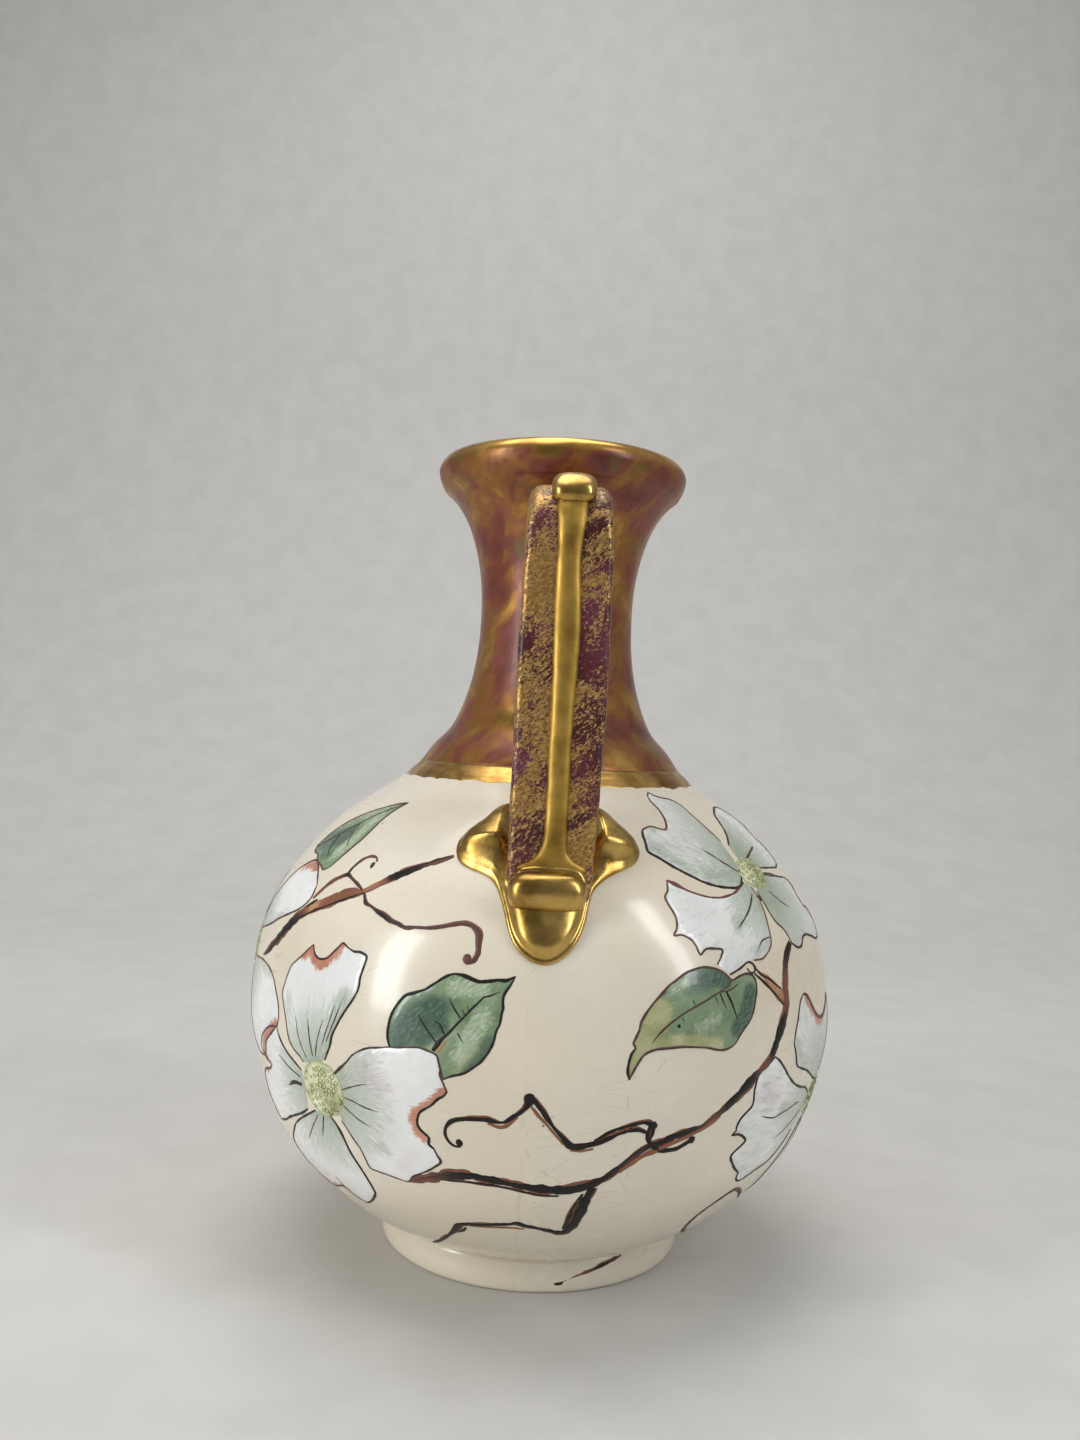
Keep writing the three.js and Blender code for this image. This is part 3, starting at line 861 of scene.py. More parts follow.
def rounded_box(half_x, half_y, corner, steps=6, long_cuts=8, short_cuts=3):
    """A rectangle's outline with round corners, as (across, out) pairs."""
    middles = [(1, 1), (-1, 1), (-1, -1), (1, -1)]
    middles = [np.array([x * (half_x - corner), y * (half_y - corner)]) for x, y in middles]
    outline = []
    for side, middle in enumerate(middles):
        turns = [math.pi / 2 * (side + i / steps) for i in range(steps + 1)]
        outline += [middle + corner * np.array([math.cos(a), math.sin(a)]) for a in turns]
        start = outline[-1]
        end = middles[(side + 1) % 4] + (start - middle)
        cuts = short_cuts if side % 2 else long_cuts
        outline += [start + (end - start) * k / cuts for k in range(1, cuts)]
    return np.array(outline)


def make_strap():
    def section(i, z):
        corner = 1.5 + 1.4 * hump(z, ARM_LEVEL, 7)
        outline = rounded_box(from_table(STRAP_WIDTHS, z) / 2, STRAP_THICKNESS / 2, corner)
        wobble = [noise.noise(Vector((i * 0.12, p[0] * 0.2, p[1] * 0.3 + 7))) for p in outline]
        return outline * (1 + np.array(wobble)[:, None] * 0.03)

    clay = Clay()
    sweep(clay, handle_path(0.0, 0.8), section, STRAP_LEANS)
    clay_piece("handle_strap_sponged", clay, STRAP_SPONGE, "sponged_glaze", "handle_strap")


def make_rib():
    """The gilt rib down the strap's face: widest under the boss, spreading again at its foot."""
    top = boss_low[2] + 1.0
    foot = bolster_high[2]

    def section(_, z):
        half = 2.45 + 0.5 * hump(z, 152, 12) + hump(z, top, 7) + 5.0 * math.exp(-max(z - foot, 0) / 1.6)
        turn = np.linspace(0, math.pi, 15)
        dome = np.stack([half * np.cos(turn), 1.6 * np.sin(turn) ** 0.8], 1)
        dome[:, 0] += noise.noise(Vector((z * 0.25, 3, 1))) * 0.12
        return np.vstack([dome, [(-half * 0.5, -0.5), (half * 0.5, -0.5)]])

    places = handle_path(STRAP_THICKNESS / 2 - 0.35, 0.6)
    kept = [p for p in places if p[0] > BEND_OUT and foot - 1.5 < p[1] < ARM_TOP - 1.2]
    clay = Clay()
    sweep(clay, kept, section, RIB_LEANS)
    clay_piece("handle_rib_gilded", clay, RIB_GILT, "burnished_gold", "handle_rib")


def cushion(clay, middle, out, up, half_sizes, square):
    """A puffed cushion: its half sizes are along X and the unit directions out and up."""
    rows, columns = 30, 48
    side = np.array([half_sizes[0], 0, 0])

    def power(value, exponent):
        return math.copysign(abs(value) ** exponent, value)

    verts = []
    for i in range(1, rows):
        v = -math.pi / 2 + math.pi * i / rows
        ring = power(math.cos(v), square)
        for j in range(columns):
            u = 2 * math.pi * j / columns
            spot = middle + side * power(math.sin(v), square)
            spot = spot + out * half_sizes[1] * ring * power(math.cos(u), 0.9)
            verts.append(spot + up * half_sizes[2] * ring * power(math.sin(u), 0.9))
    faces = [face[::-1] for face in open_faces(rows - 1, columns)]
    low = len(verts)
    verts += [middle - side, middle + side]
    last = (rows - 2) * columns
    for j in range(columns):
        m = (j + 1) % columns
        faces += [(low, j, m), (low + 1, last + m, last + j)]
    clay.add(np.array(verts), faces)


def make_boss():
    """The stud at the bend: a cushion-shaped knob set across the rib's head."""
    tilt = math.radians(52)
    out = np.array([0, -math.cos(tilt), math.sin(tilt)])
    up = np.array([0, math.sin(tilt), math.cos(tilt)])
    middle = np.array([1.6, -BEND_OUT, BEND_UP]) + out * (BEND_RADIUS + STRAP_THICKNESS / 2 + 0.6)
    clay = Clay()
    cushion(clay, middle, out, up, (4.9, 3.1, 4.7), 0.66)
    clay_piece("handle_boss_gilded", clay, GILT, "burnished_gold", "handle_boss")


# ---------------------------------------------------------------------- patches laid on a surface


def distance_to(points, chain, closed):
    """Distance of each point to a chain of short straight pieces."""
    starts = chain if closed else chain[:-1]
    ends = np.roll(chain, -1, axis=0) if closed else chain[1:]
    span = ends - starts
    size = np.maximum((span * span).sum(1), 1e-9)
    best = np.full(len(points), np.inf)
    for start, along, length in zip(starts, span, size):
        share = unit(((points - start) @ along) / length)
        gap = points - start - share[:, None] * along
        best = np.minimum(best, (gap * gap).sum(1))
    return np.sqrt(best)


def inside_of(points, ring):
    x, y = points[:, 0], points[:, 1]
    hit = np.zeros(len(points), bool)
    for (x0, y0), (x1, y1) in zip(ring, np.roll(ring, -1, axis=0)):
        crosses = (y0 > y) != (y1 > y)
        rise = y1 - y0 if abs(y1 - y0) > 1e-12 else 1e-12
        hit ^= crosses & (x < (x1 - x0) * (y - y0) / rise + x0)
    return hit


def filled(ring, spacing, seed, insets):
    """Triangles that fill a ring of flat points, with inner rings that follow its edge."""
    area = 0.5 * np.sum(ring[:, 0] * np.roll(ring[:, 1], -1) - np.roll(ring[:, 0], -1) * ring[:, 1])
    if area < 0:
        ring = ring[::-1]
    along = np.roll(ring, -1, axis=0) - np.roll(ring, 1, axis=0)
    along /= np.maximum(np.linalg.norm(along, axis=1), 1e-9)[:, None]
    inner = []
    for inset in insets:
        moved = ring + inset * np.stack([-along[:, 1], along[:, 0]], 1)
        inner.append(moved[inside_of(moved, ring) & (distance_to(moved, ring, True) > inset * 0.85)])
    draw = Random(seed)
    stray = 0.12 * spacing
    low, high = ring.min(0), ring.max(0)
    grid = []
    row = 0
    y = low[1]
    while y < high[1]:
        x = low[0] + (spacing / 2 if row % 2 else 0)
        while x < high[0]:
            grid.append((x + draw.uniform(-stray, stray), y + draw.uniform(-stray, stray)))
            x += spacing
        y += spacing * 0.87
        row += 1
    grid = np.array(grid)
    grid = grid[inside_of(grid, ring)]
    grid = grid[distance_to(grid, ring, True) > insets[-1] + spacing * 0.45]
    points = [Vector(p) for p in np.vstack([ring, *inner, grid])]
    verts, _, faces, *_ = delaunay_2d_cdt(points, [], [list(range(len(ring)))], 1, 1e-5)
    return np.array([(v.x, v.y) for v in verts]), faces


def upper_skin(ring, spacing, place, lift, seed, insets, depth):
    """A skin over a flat ring: its flat places, which of them are on the rim, its places, faces."""
    flat, faces = filled(ring, spacing, seed, insets)
    edge = distance_to(flat, ring, True)
    rim = edge < 1e-3
    places = place(flat, np.where(rim, -depth, lift(flat, edge)))
    return flat, rim, places, [tuple(face) for face in faces if not rim[list(face)].all()]


def lay_patch(clay, ring, spacing, place, lift, seed=1, insets=(0.22,), depth=0.05, **painted):
    """A closed thin skin over a flat ring: place(flat, lift) puts it on a surface, lift(flat,
    edge) says how high it stands, and each painted value is a function of the flat places."""
    flat, rim, top, faces = upper_skin(ring, spacing, place, lift, seed, insets, depth)
    under = place(flat[~rim], np.full((~rim).sum(), -depth - 0.03))
    lower = np.where(rim, np.arange(len(flat)), np.cumsum(~rim) - 1 + len(flat)).tolist()
    back = [(lower[c], lower[b], lower[a]) for a, b, c in faces]
    columns = {key: paint(flat) for key, paint in painted.items()}
    values = {key: np.concatenate([column, column[~rim]]) for key, column in columns.items()}
    clay.add(np.vstack([top, under]), faces + back, **values)


def on_strap_face(flat, lift):
    return np.stack([flat[:, 0], -(HANDLE_REACH - 0.3 + lift), flat[:, 1]], -1)


def make_bolster():
    """The roll across the handle's foot, in a gilt collar that arches over it."""
    collar = [(-8.2, 90.5), (-8.5, 94.5), (-8.2, 98.2), (-6.6, 100.6), (-3.5, 101.4), (0, 101.5)]
    ring = smooth_path(collar + [(-x, z) for x, z in collar[-2::-1]], 0.35, closed=True)

    def lift(_, edge):
        return 1.9 * domed(edge / 1.5) - 0.4 * unit((edge - 1.5) / 1.5)

    clay = Clay()
    lay_patch(clay, ring, 0.4, on_strap_face, lift, insets=(0.12, 0.4, 0.8, 1.2), depth=1.2)
    middle = np.array([-0.5, -(HANDLE_REACH + 3.4), 95.9])
    cushion(clay, middle, np.array([0, -1.0, 0]), np.array([0, 0, 1.0]), (8.2, 4.3, 4.6), 0.68)
    clay_piece("handle_bolster_gilded", clay, GILT, "burnished_gold", "handle_bolster")


def flat_of(points):
    """(Degrees, height) points as flat painting millimetres."""
    values = np.array(points, float)
    values[:, 0] *= DEGREE
    return values


MOUNT_EDGE = [
    (-6, 113.2), (-12.5, 112.2), (-15, 110.6), (-16.5, 108.9), (-18.3, 107.8), (-20.2, 106.5),
    (-21.4, 104.4), (-21.2, 102.4), (-19.6, 100.3), (-17, 99.1), (-14.4, 98.4), (-12, 97.4),
    (-10.3, 95.7), (-9, 93.3), (-8.1, 91), (-7.3, 88.6), (-6.3, 86.2), (-4.7, 83.9), (-2.2, 82.1),
    (0.5, 81.9), (3.1, 83.6), (5.2, 86.5), (6.6, 89.8), (7.5, 93), (8.6, 95.8), (10.6, 97.7),
    (13.4, 99.2), (16.6, 100.4), (19.4, 101.9), (20.8, 104), (20.3, 106.2), (18.4, 107.9), (16.5, 109.2),
    (15, 110.9), (12.8, 112.3), (6, 113.2),
]
LOBE_CREST = 103.6


def mount_lift(flat, edge):
    """A thin raised rim all round, a dome on the tongue and a bulging ridge along each lobe."""
    side = np.abs(flat[:, 0]) / DEGREE
    above = flat[:, 1] - LOBE_CREST
    rim = 0.75 * domed(edge / 0.9)
    groove = 0.22 * np.exp(-(((edge - 1.5) / 0.5) ** 2))
    crest = 4.8 * np.sqrt(1 - unit((side - 6) / 14.6) ** 2.2) * (0.1 + 0.9 * eased((side - 7.6) / 4.2))
    over = np.sqrt(unit(1 - (np.clip(above, 0, None) / 9.0) ** 2))
    skirt = 0.22 + 0.78 * np.exp(-((np.clip(-above, 0, None) / 1.7) ** 1.6))
    lobe = crest * over * skirt * domed((edge - 0.7) / 3.2)
    tongue = 2.7 * domed((edge - 1.2) / 5.4)
    share = eased((flat[:, 1] - 93.0) / 4.0)
    return rim - groove + tongue * (1 - share) + lobe * share


def make_mount():
    """The relief on the shoulder: a tongue under the bolster that runs on into a lobe each side."""
    ring = smooth_path(flat_of(MOUNT_EDGE), 0.4, closed=True)
    clay = Clay()
    lay_patch(clay, ring, 0.45, on_body, mount_lift, insets=(0.12, 0.4, 0.75, 1.15, 1.6), depth=0.4)
    nodes = ("mount_tongue", "mount_lobe_left", "mount_lobe_right")
    clay_piece("mount_relief_gilded", clay, GILT, "burnished_gold", *nodes)


# ---------------------------------------------------------------------------------- the painting

FILL_LIFT = 0.04
INK_LIFT = 0.13
EVEN = (0.6, 0.6)  # the share of its width that a stroke keeps at each end


def touched(touches, motion):
    """A painted value: the strongest of several touches, each (points, reach, strength), full on
    a chain of points and fading out at its reach in millimetres."""
    chains = [(smooth_path(flat_of(carried(points, motion)), 0.8), *rest) for points, *rest in touches]

    def paint(flat):
        value = np.zeros(len(flat))
        for chain, reach, strength in chains:
            value = np.maximum(value, strength * eased(1 - distance_to(flat, chain, False) / reach))
        return value

    return paint


def carried(points, motion):
    """(Degrees, height, ...) points carried by a motion of the flat painting."""
    if motion is None:
        return [tuple(p) for p in points]
    return [(*motion(p[0], p[1]), *p[2:]) for p in points]


def motion_to(centre, target, turn=0.0, mirrored=False, scale=1.0):
    """A motion that takes a motif from its centre to a target, turned by degrees."""
    cos, sin = math.cos(math.radians(turn)), math.sin(math.radians(turn))

    def move(around, z):
        u = (around - centre[0]) * DEGREE * (-1 if mirrored else 1)
        v = z - centre[1]
        return target[0] + scale * (u * cos - v * sin) / DEGREE, target[1] + scale * (u * sin + v * cos)

    return move


def enamel_lift(level):
    """Each petal or leaf lies a little above the one drawn before it."""
    return lambda flat, edge: np.full(len(flat), FILL_LIFT + 0.012 * level)


def draw_petal(clay, outline, hub, shade=(), rust=(), blush=(), wash=0.1, level=0, seed=1, motion=None):
    ring = smooth_path(flat_of(carried(outline, motion)), 0.6, closed=True)
    middle = flat_of(carried([hub], motion))[0]
    shading = touched(shade, motion)

    def shaded(flat):
        root = unit(1.2 - np.linalg.norm(flat - middle, axis=1) / 19)
        return wash + (1 - wash) * np.maximum(root**1.2, shading(flat))

    painted = {
        "shade": shaded,
        "rust": touched(rust, motion),
        "blush": touched(blush, motion),
        "far": lambda flat: np.linalg.norm(flat - middle, axis=1) / 10,
        "turn": lambda flat: np.arctan2(flat[:, 1] - middle[1], flat[:, 0] - middle[0]) * 1.6,
    }
    lay_patch(clay, ring, 1.25, on_body, enamel_lift(level), seed, **painted)


def draw_leaf(clay, outline, midrib, deep, pale, gold, level=0, seed=1, motion=None):
    ring = smooth_path(flat_of(carried(outline, motion)), 0.6, closed=True)
    rib = flat_of(carried(midrib, motion))
    start = rib[0]
    axis = (rib[-1] - start) / np.linalg.norm(rib[-1] - start)
    side = np.array([-axis[1], axis[0]])
    painted = {
        "deep": touched(deep, motion),
        "pale": touched(pale, motion),
        "gold": touched(gold, motion),
        "far": lambda flat: (flat - start) @ axis / 10,
        "turn": lambda flat: (flat - start) @ side / 10,
    }
    lay_patch(clay, ring, 1.1, on_body, enamel_lift(level), seed, **painted)


def noise_along(flat, scale, layer):
    return np.array([noise.noise(Vector((x * scale, y * scale, layer))) for x, y in flat])


def around_and_height(spots):
    return np.degrees(np.arctan2(spots[:, 0], -spots[:, 1])), spots[:, 2]


def draw_line(
    clay,
    points,
    width=0.6,
    tone=0.1,
    taper=EVEN,
    level=0,
    lift=INK_LIFT,
    motion=None,
    rough=0.2,
    weight=1.15,
    fringe=False,
):
    """An inked ribbon. Points are (degrees, height) with an optional width and tone of their own."""
    full = [(*p, *(width, tone)[len(p) - 2 :]) for p in carried(points, motion)]
    path = smooth_path([(around * DEGREE, *rest) for around, *rest in full], 0.7)
    flat, widths = path[:, :2], path[:, 2]
    count = len(path)
    length = np.concatenate([[0], np.cumsum(np.linalg.norm(np.diff(flat, axis=0), axis=1))])
    press = taper[0] + (1 - taper[0]) * unit(length / 2.2)
    press = press * (taper[1] + (1 - taper[1]) * unit((length[-1] - length) / 2.2))
    base = on_body(flat, 0.0)
    side = np.cross(on_body(flat, 1.0) - base, np.gradient(base, axis=0))
    side /= np.maximum(np.linalg.norm(side, axis=1), 1e-9)[:, None]
    wave = noise_along(flat, 0.45, 5.0)
    unevenness = 1 + rough * (2.0 * wave + noise_along(flat, 1.7, 9.0))
    half = np.maximum(weight * widths / 2 * press * unevenness, 0.07)
    top = lift + 0.015 * level + 0.02 * np.minimum(widths, 2)
    section = [(1.0, -0.05), (0.72, 0.75 * top), (0.0, top), (-0.72, 0.75 * top), (-1.0, -0.05)]
    rows = []
    for across, height in section:
        spots = base + side * (half * across)[:, None]
        rows.append(body_point(*around_and_height(spots), height))
    if fringe:
        # A thinner brown stroke shows along one side of the dark one, first one side then the other.
        stray = half * 0.7 * np.clip(noise_along(flat, 0.12, 2.0) * 7, -1, 1)
        around, z = around_and_height(base + side * stray[:, None])
        brown = np.stack([around, z, widths * 0.62 * weight, np.full(count, 0.52)], 1)[::3]
        if len(brown) > 3:
            draw_line(clay, brown, taper=taper, lift=lift * 0.72, rough=0.12, weight=1.0)
    sides = len(section)
    clay.add(
        np.stack(rows, 1).reshape(-1, 3),
        tube_faces(count, sides),
        far=np.repeat(length / 10, sides),
        turn=np.tile([0.0, 0.14, 0.5, 0.86, 1.0], count) + wave.repeat(sides) * 0.2,
        tone=np.repeat(path[:, 3], sides),
    )


def draw_strokes(clay, strokes, **look):
    """Lines from a table of (points, width, tone, taper, level, lift), of which the last ones may
    be left out; None stands for a width or a tone that every point has of its own."""
    for points, *style in strokes:
        draw_line(clay, points, *style, **look)


def uneven_ring(count, unevenness, scale, layer):
    """A circle of radius 1 with a hand's unevenness."""
    turn = np.linspace(0, 2 * math.pi, count, endpoint=False)
    circle = np.stack([np.cos(turn), np.sin(turn)], 1)
    return circle * (1 + unevenness * noise_along(circle, scale, layer))[:, None]


def draw_dot(clay, centre, radius, tone, level):
    """A dab of ink."""
    middle = flat_of([centre])[0]
    ring = middle + radius * uneven_ring(18, 0.18, 2, middle[0])

    def lift(_, edge):
        return INK_LIFT + 0.015 * level + 0.05 * unit(edge / radius)

    painted = {
        "tone": lambda flat: np.full(len(flat), tone),
        "far": lambda flat: flat[:, 0] / 10,
        "turn": lambda flat: flat[:, 1] / 4,
    }
    lay_patch(clay, ring, 0.45, on_body, lift, insets=(0.15,), **painted)


# Each bloom below is a list of petals, the last one on top: how its enamel is laid, with touches
# of (points, reach, strength), and its strokes. Points are degrees round from the handle and
# heights, so every motif lies where it shows on the vase.

LEFT_HUB = (-40.3, 50.2)
PETAL_TOP = [
    (-45, 54.8), (-46, 55.8), (-48, 57), (-49.2, 58.3), (-50, 60), (-51, 63), (-52.3, 65.8), (-53.2, 68),
    (-52.8, 70), (-52.3, 72), (-51.5, 74.3), (-50, 75.8), (-48.3, 77.5), (-47, 79), (-46, 80),
    (-45.2, 78.5), (-44.2, 77.7), (-43, 77.5), (-41.5, 78), (-40.2, 79.4), (-39, 81), (-38.4, 81.7),
    (-36.8, 81), (-35.2, 80.5), (-33.8, 80.6), (-32.3, 80), (-32.2, 79.3), (-32.5, 77.5), (-32.8, 75.5),
    (-32.8, 73.5), (-33.5, 71.3), (-34.7, 69), (-35.8, 66.8), (-36.8, 64.5), (-37.6, 62.3), (-37.8, 60.5),
    (-38.5, 58.5), (-39, 57),
]
PETAL_RIGHT = [
    (-36.7, 54.8), (-35.5, 56), (-34, 57.8), (-32.8, 59.5), (-31.3, 60.8), (-29.5, 61.8), (-27.5, 62.3),
    (-25.8, 62.8), (-23.5, 63.1), (-22.6, 63.3), (-20.2, 63.7), (-18.5, 63.3), (-17, 62.6), (-16.7, 61.5),
    (-16.3, 60), (-16.4, 59), (-16, 57.8), (-15.5, 56.5), (-15.1, 55.6), (-15.6, 54.6), (-16.6, 53.8),
    (-17.8, 52.2), (-18.8, 51.3), (-19.8, 50.4), (-20.3, 49.2), (-20.5, 47.6), (-20, 46.4), (-19, 45.4),
    (-18.5, 44.8), (-18.7, 43.5), (-17.8, 42.5), (-17.2, 41), (-16.7, 39.8), (-18, 38.3), (-19.5, 37),
    (-21, 36), (-22.5, 35), (-23.2, 33.9), (-24, 33.3), (-26, 33.6), (-28, 33.9), (-30, 34.1),
    (-31.8, 34.5), (-32.5, 36.8), (-33.2, 38.8), (-34, 40), (-35, 41.7), (-36, 43.3), (-36.6, 44),
]
PETAL_LOW = [
    (-39.5, 44.3), (-38.5, 43.3), (-37.5, 41.5), (-36.7, 39.3), (-36, 37), (-35, 34.8), (-34, 32.3),
    (-33.4, 29.5), (-33.5, 27.3), (-34.5, 26), (-36, 24.5), (-38, 23), (-40, 22), (-42.5, 22.8),
    (-44.5, 24.8), (-47, 24.2), (-50, 22.8), (-53, 22), (-57, 22.5), (-59, 25), (-59.5, 28), (-59, 31),
    (-57, 33.5), (-55, 35.5), (-53, 37.7), (-51, 39.3), (-49, 40.7), (-47, 42), (-45, 43.3),
    (-43.5, 44.3),
]
PETAL_LEFT = [
    (-46, 52.8), (-48, 54), (-50, 55.2), (-52, 56.8), (-53.3, 58.3), (-54.2, 60), (-57, 59.3),
    (-60, 57.5), (-62.5, 55), (-63.5, 52.5), (-61.5, 50.8), (-58.5, 50), (-60, 48.5), (-63, 47.5),
    (-65.5, 45.5), (-66.5, 42), (-65, 38.5), (-62, 35.5), (-58, 37), (-55, 38.7), (-52, 40.2),
    (-50, 41.2), (-48, 42.3), (-46, 43.8),
]
TOP_RUST = [(-48.3, 78), (-46, 79.5), (-44, 76.8), (-42, 77), (-40, 79.3), (-38.3, 81.4)]
TOP_WEDGE = [(-39.3, 57), (-37.6, 64), (-35.3, 70.5)]
RIGHT_RUST = [(-15.3, 55.6), (-17.5, 53), (-20, 50.5), (-21, 47.5), (-19.3, 45)]
LOW_RUST = [(-44, 24.6), (-50, 23), (-56, 22.6)]
LEFT_RUST = [(-63.3, 53), (-60.5, 50.3), (-62.5, 47.5)]
LEFT_BLOOM = [
    (
        {"outline": PETAL_LEFT, "rust": [(LEFT_RUST, 2.6, 1.0)]},
        [
            (PETAL_LEFT[:6], 0.55, 0.28),
            (PETAL_LEFT[5:18], 0.55, 0.3),
            (PETAL_LEFT[17:], 0.6, 0.12),
            ([(-46.5, 49.3), (-49, 49), (-51.5, 47.5)], 1.0, 0.2, (0.9, 0.1)),
            ([(-46.6, 51), (-50, 52), (-53.5, 53.8)], 0.35, 0.3, (0.8, 0.1)),
        ],
    ),
    (
        {"outline": PETAL_LOW, "rust": [(LOW_RUST, 2.0, 0.9)]},
        [
            (PETAL_LOW[:13], 0.6, 0.14),
            (PETAL_LOW[12:19], 0.55, 0.3),
            (PETAL_LOW[18:], 0.55, 0.16),
            ([(-41.3, 43.7), (-42, 41.5), (-43, 38.5)], 0.4, 0.2, (0.9, 0.1)),
            ([(-43, 43.4), (-45.5, 40), (-48.5, 36)], 0.3, 0.34, (0.8, 0.1)),
            ([(-44.5, 25), (-45, 27.5)], 0.3, 0.3, (0.8, 0.1)),
        ],
    ),
    (
        {
            "outline": PETAL_TOP,
            "shade": [(TOP_WEDGE, 4.2, 0.75), ([(-47, 56.5), (-50, 63), (-50.8, 68)], 2.6, 0.35)],
            "rust": [(TOP_RUST, 2.9, 1.0)],
        },
        [
            (PETAL_TOP[:15], 0.45, 0.36),
            (PETAL_TOP[14:23], 0.52, 0.2),
            (PETAL_TOP[22:], 0.52, 0.18),
            ([(-42.2, 57), (-43, 60), (-44, 64.5)], 0.42, 0.24, (0.9, 0.1)),
            ([(-41.5, 57), (-41, 61), (-40, 65.3)], 0.36, 0.3, (0.9, 0.1)),
            ([(-39.8, 60), (-38.5, 65), (-37.5, 69)], 0.32, 0.26, (0.6, 0.1)),
            ([(-38.8, 61), (-37.5, 65), (-36.2, 69.5)], 0.32, 0.22, (0.6, 0.1)),
            ([(-44, 56), (-46.3, 60), (-47.6, 64)], 0.3, 0.34, (0.8, 0.1)),
        ],
    ),
    (
        {
            "outline": PETAL_RIGHT,
            "shade": [
                ([(-35.5, 44.5), (-31, 41.5), (-27, 39.8)], 2.6, 0.4),
                ([(-33, 58), (-27, 61.5)], 1.8, 0.4),
            ],
            "rust": [(RIGHT_RUST, 2.7, 1.0)],
            "blush": [([(-30, 57), (-27, 54)], 5.0, 0.8), ([(-24, 37), (-22, 40)], 3.6, 0.5)],
        },
        [
            ([(-37, 54.4, 1.2), (-35.9, 55.6, 0.9), (-34, 57.8, 0.45), *PETAL_RIGHT[3:8]], 0.42, 0.24),
            (PETAL_RIGHT[7:19], 0.42, 0.28),
            (PETAL_RIGHT[18:31], 0.6, 0.14),
            (PETAL_RIGHT[30:39], 0.5, 0.22),
            (PETAL_RIGHT[38:], 0.42, 0.3),
            ([(-35, 49.8), (-33, 49.5), (-31, 48.9), (-28, 48.5)], 0.4, 0.3, (0.9, 0.1)),
            ([(-35.3, 51.5), (-32.5, 53), (-29.8, 54.2)], 0.3, 0.34, (0.8, 0.1)),
            ([(-35.4, 47.8), (-32.6, 45.8), (-30, 44.6)], 0.32, 0.26, (0.8, 0.1)),
        ],
    ),
]

RIGHT_HUB = (52.3, 98.7)
PETAL_P1 = [
    (48.3, 101), (48.2, 103.4), (48.4, 105.6), (47.5, 108), (46.9, 110.6), (46.6, 113), (44.5, 114.3),
    (41, 114.8), (38, 115.3), (36.5, 115.9), (34.8, 115.2), (34.3, 114), (34.8, 112.5), (34.2, 110.8),
    (33, 109.3), (31.5, 108.3), (29.5, 108.5), (27.5, 108.9), (25.5, 108.6), (24.2, 108.1), (23.6, 107.2),
    (23.3, 105.5), (23, 104), (25, 102.8), (27.5, 101.2), (30, 99.8), (32, 98.8), (34, 97.8), (36.5, 97),
    (39, 96.5), (42, 96.2), (44, 96.2), (45.5, 96.8), (47, 98.2),
]
PETAL_P2 = [
    (25, 98.2), (26.5, 97.5), (29, 96.2), (31.5, 95.3), (34, 94.7), (36.5, 94.5), (39, 94.7), (42, 95.3),
    (44.5, 96.3), (46.5, 97), (48.4, 96), (48.8, 93.8), (48.3, 91), (47.4, 88.2), (46.8, 86),
    (46.1, 84.3), (44.5, 82.9), (42.5, 81.8), (40, 81.7), (38.5, 81.5), (36, 80.5), (33.5, 79.6),
    (31, 81.6), (32.2, 83.2), (32.8, 84.4), (31, 84.8), (29.5, 84.9), (28.7, 84.6), (27.7, 83.8),
    (27.2, 85.4), (26.5, 86.7), (25.5, 87.4), (24.5, 87.8), (23.1, 87.7), (24, 89), (24.4, 90.7),
    (24.2, 92), (23.6, 93.5), (23.3, 95), (24.4, 96.3),
]
PETAL_P3 = [
    (49.6, 95), (49.8, 92.5), (50.3, 89.5), (51.2, 88), (52.4, 87), (53.2, 85.5), (53.8, 83.6),
    (56, 82.4), (58, 82.5), (60, 84), (62.5, 84.3), (66, 83.4), (70, 82.2), (74, 82.6), (76.5, 85.5),
    (75.5, 88.5), (72, 89.6), (71.5, 92), (73.5, 94.3), (70, 96.2), (65.5, 96.8), (61.5, 97.8),
    (57.5, 98.3),
]
PETAL_P4 = [
    (50.4, 102), (50.6, 104.6), (53, 106.1), (55.2, 107.6), (57.5, 109.3), (60, 110.7), (64, 111.6),
    (70, 112.3), (75, 112), (79, 110.3), (80, 107.8), (76.5, 106.9), (74.8, 105.3), (77, 103.3),
    (77.5, 101), (74.5, 99), (70, 98.6), (65, 98.9), (61, 99.2), (57.6, 99.6), (55.5, 101.4),
]
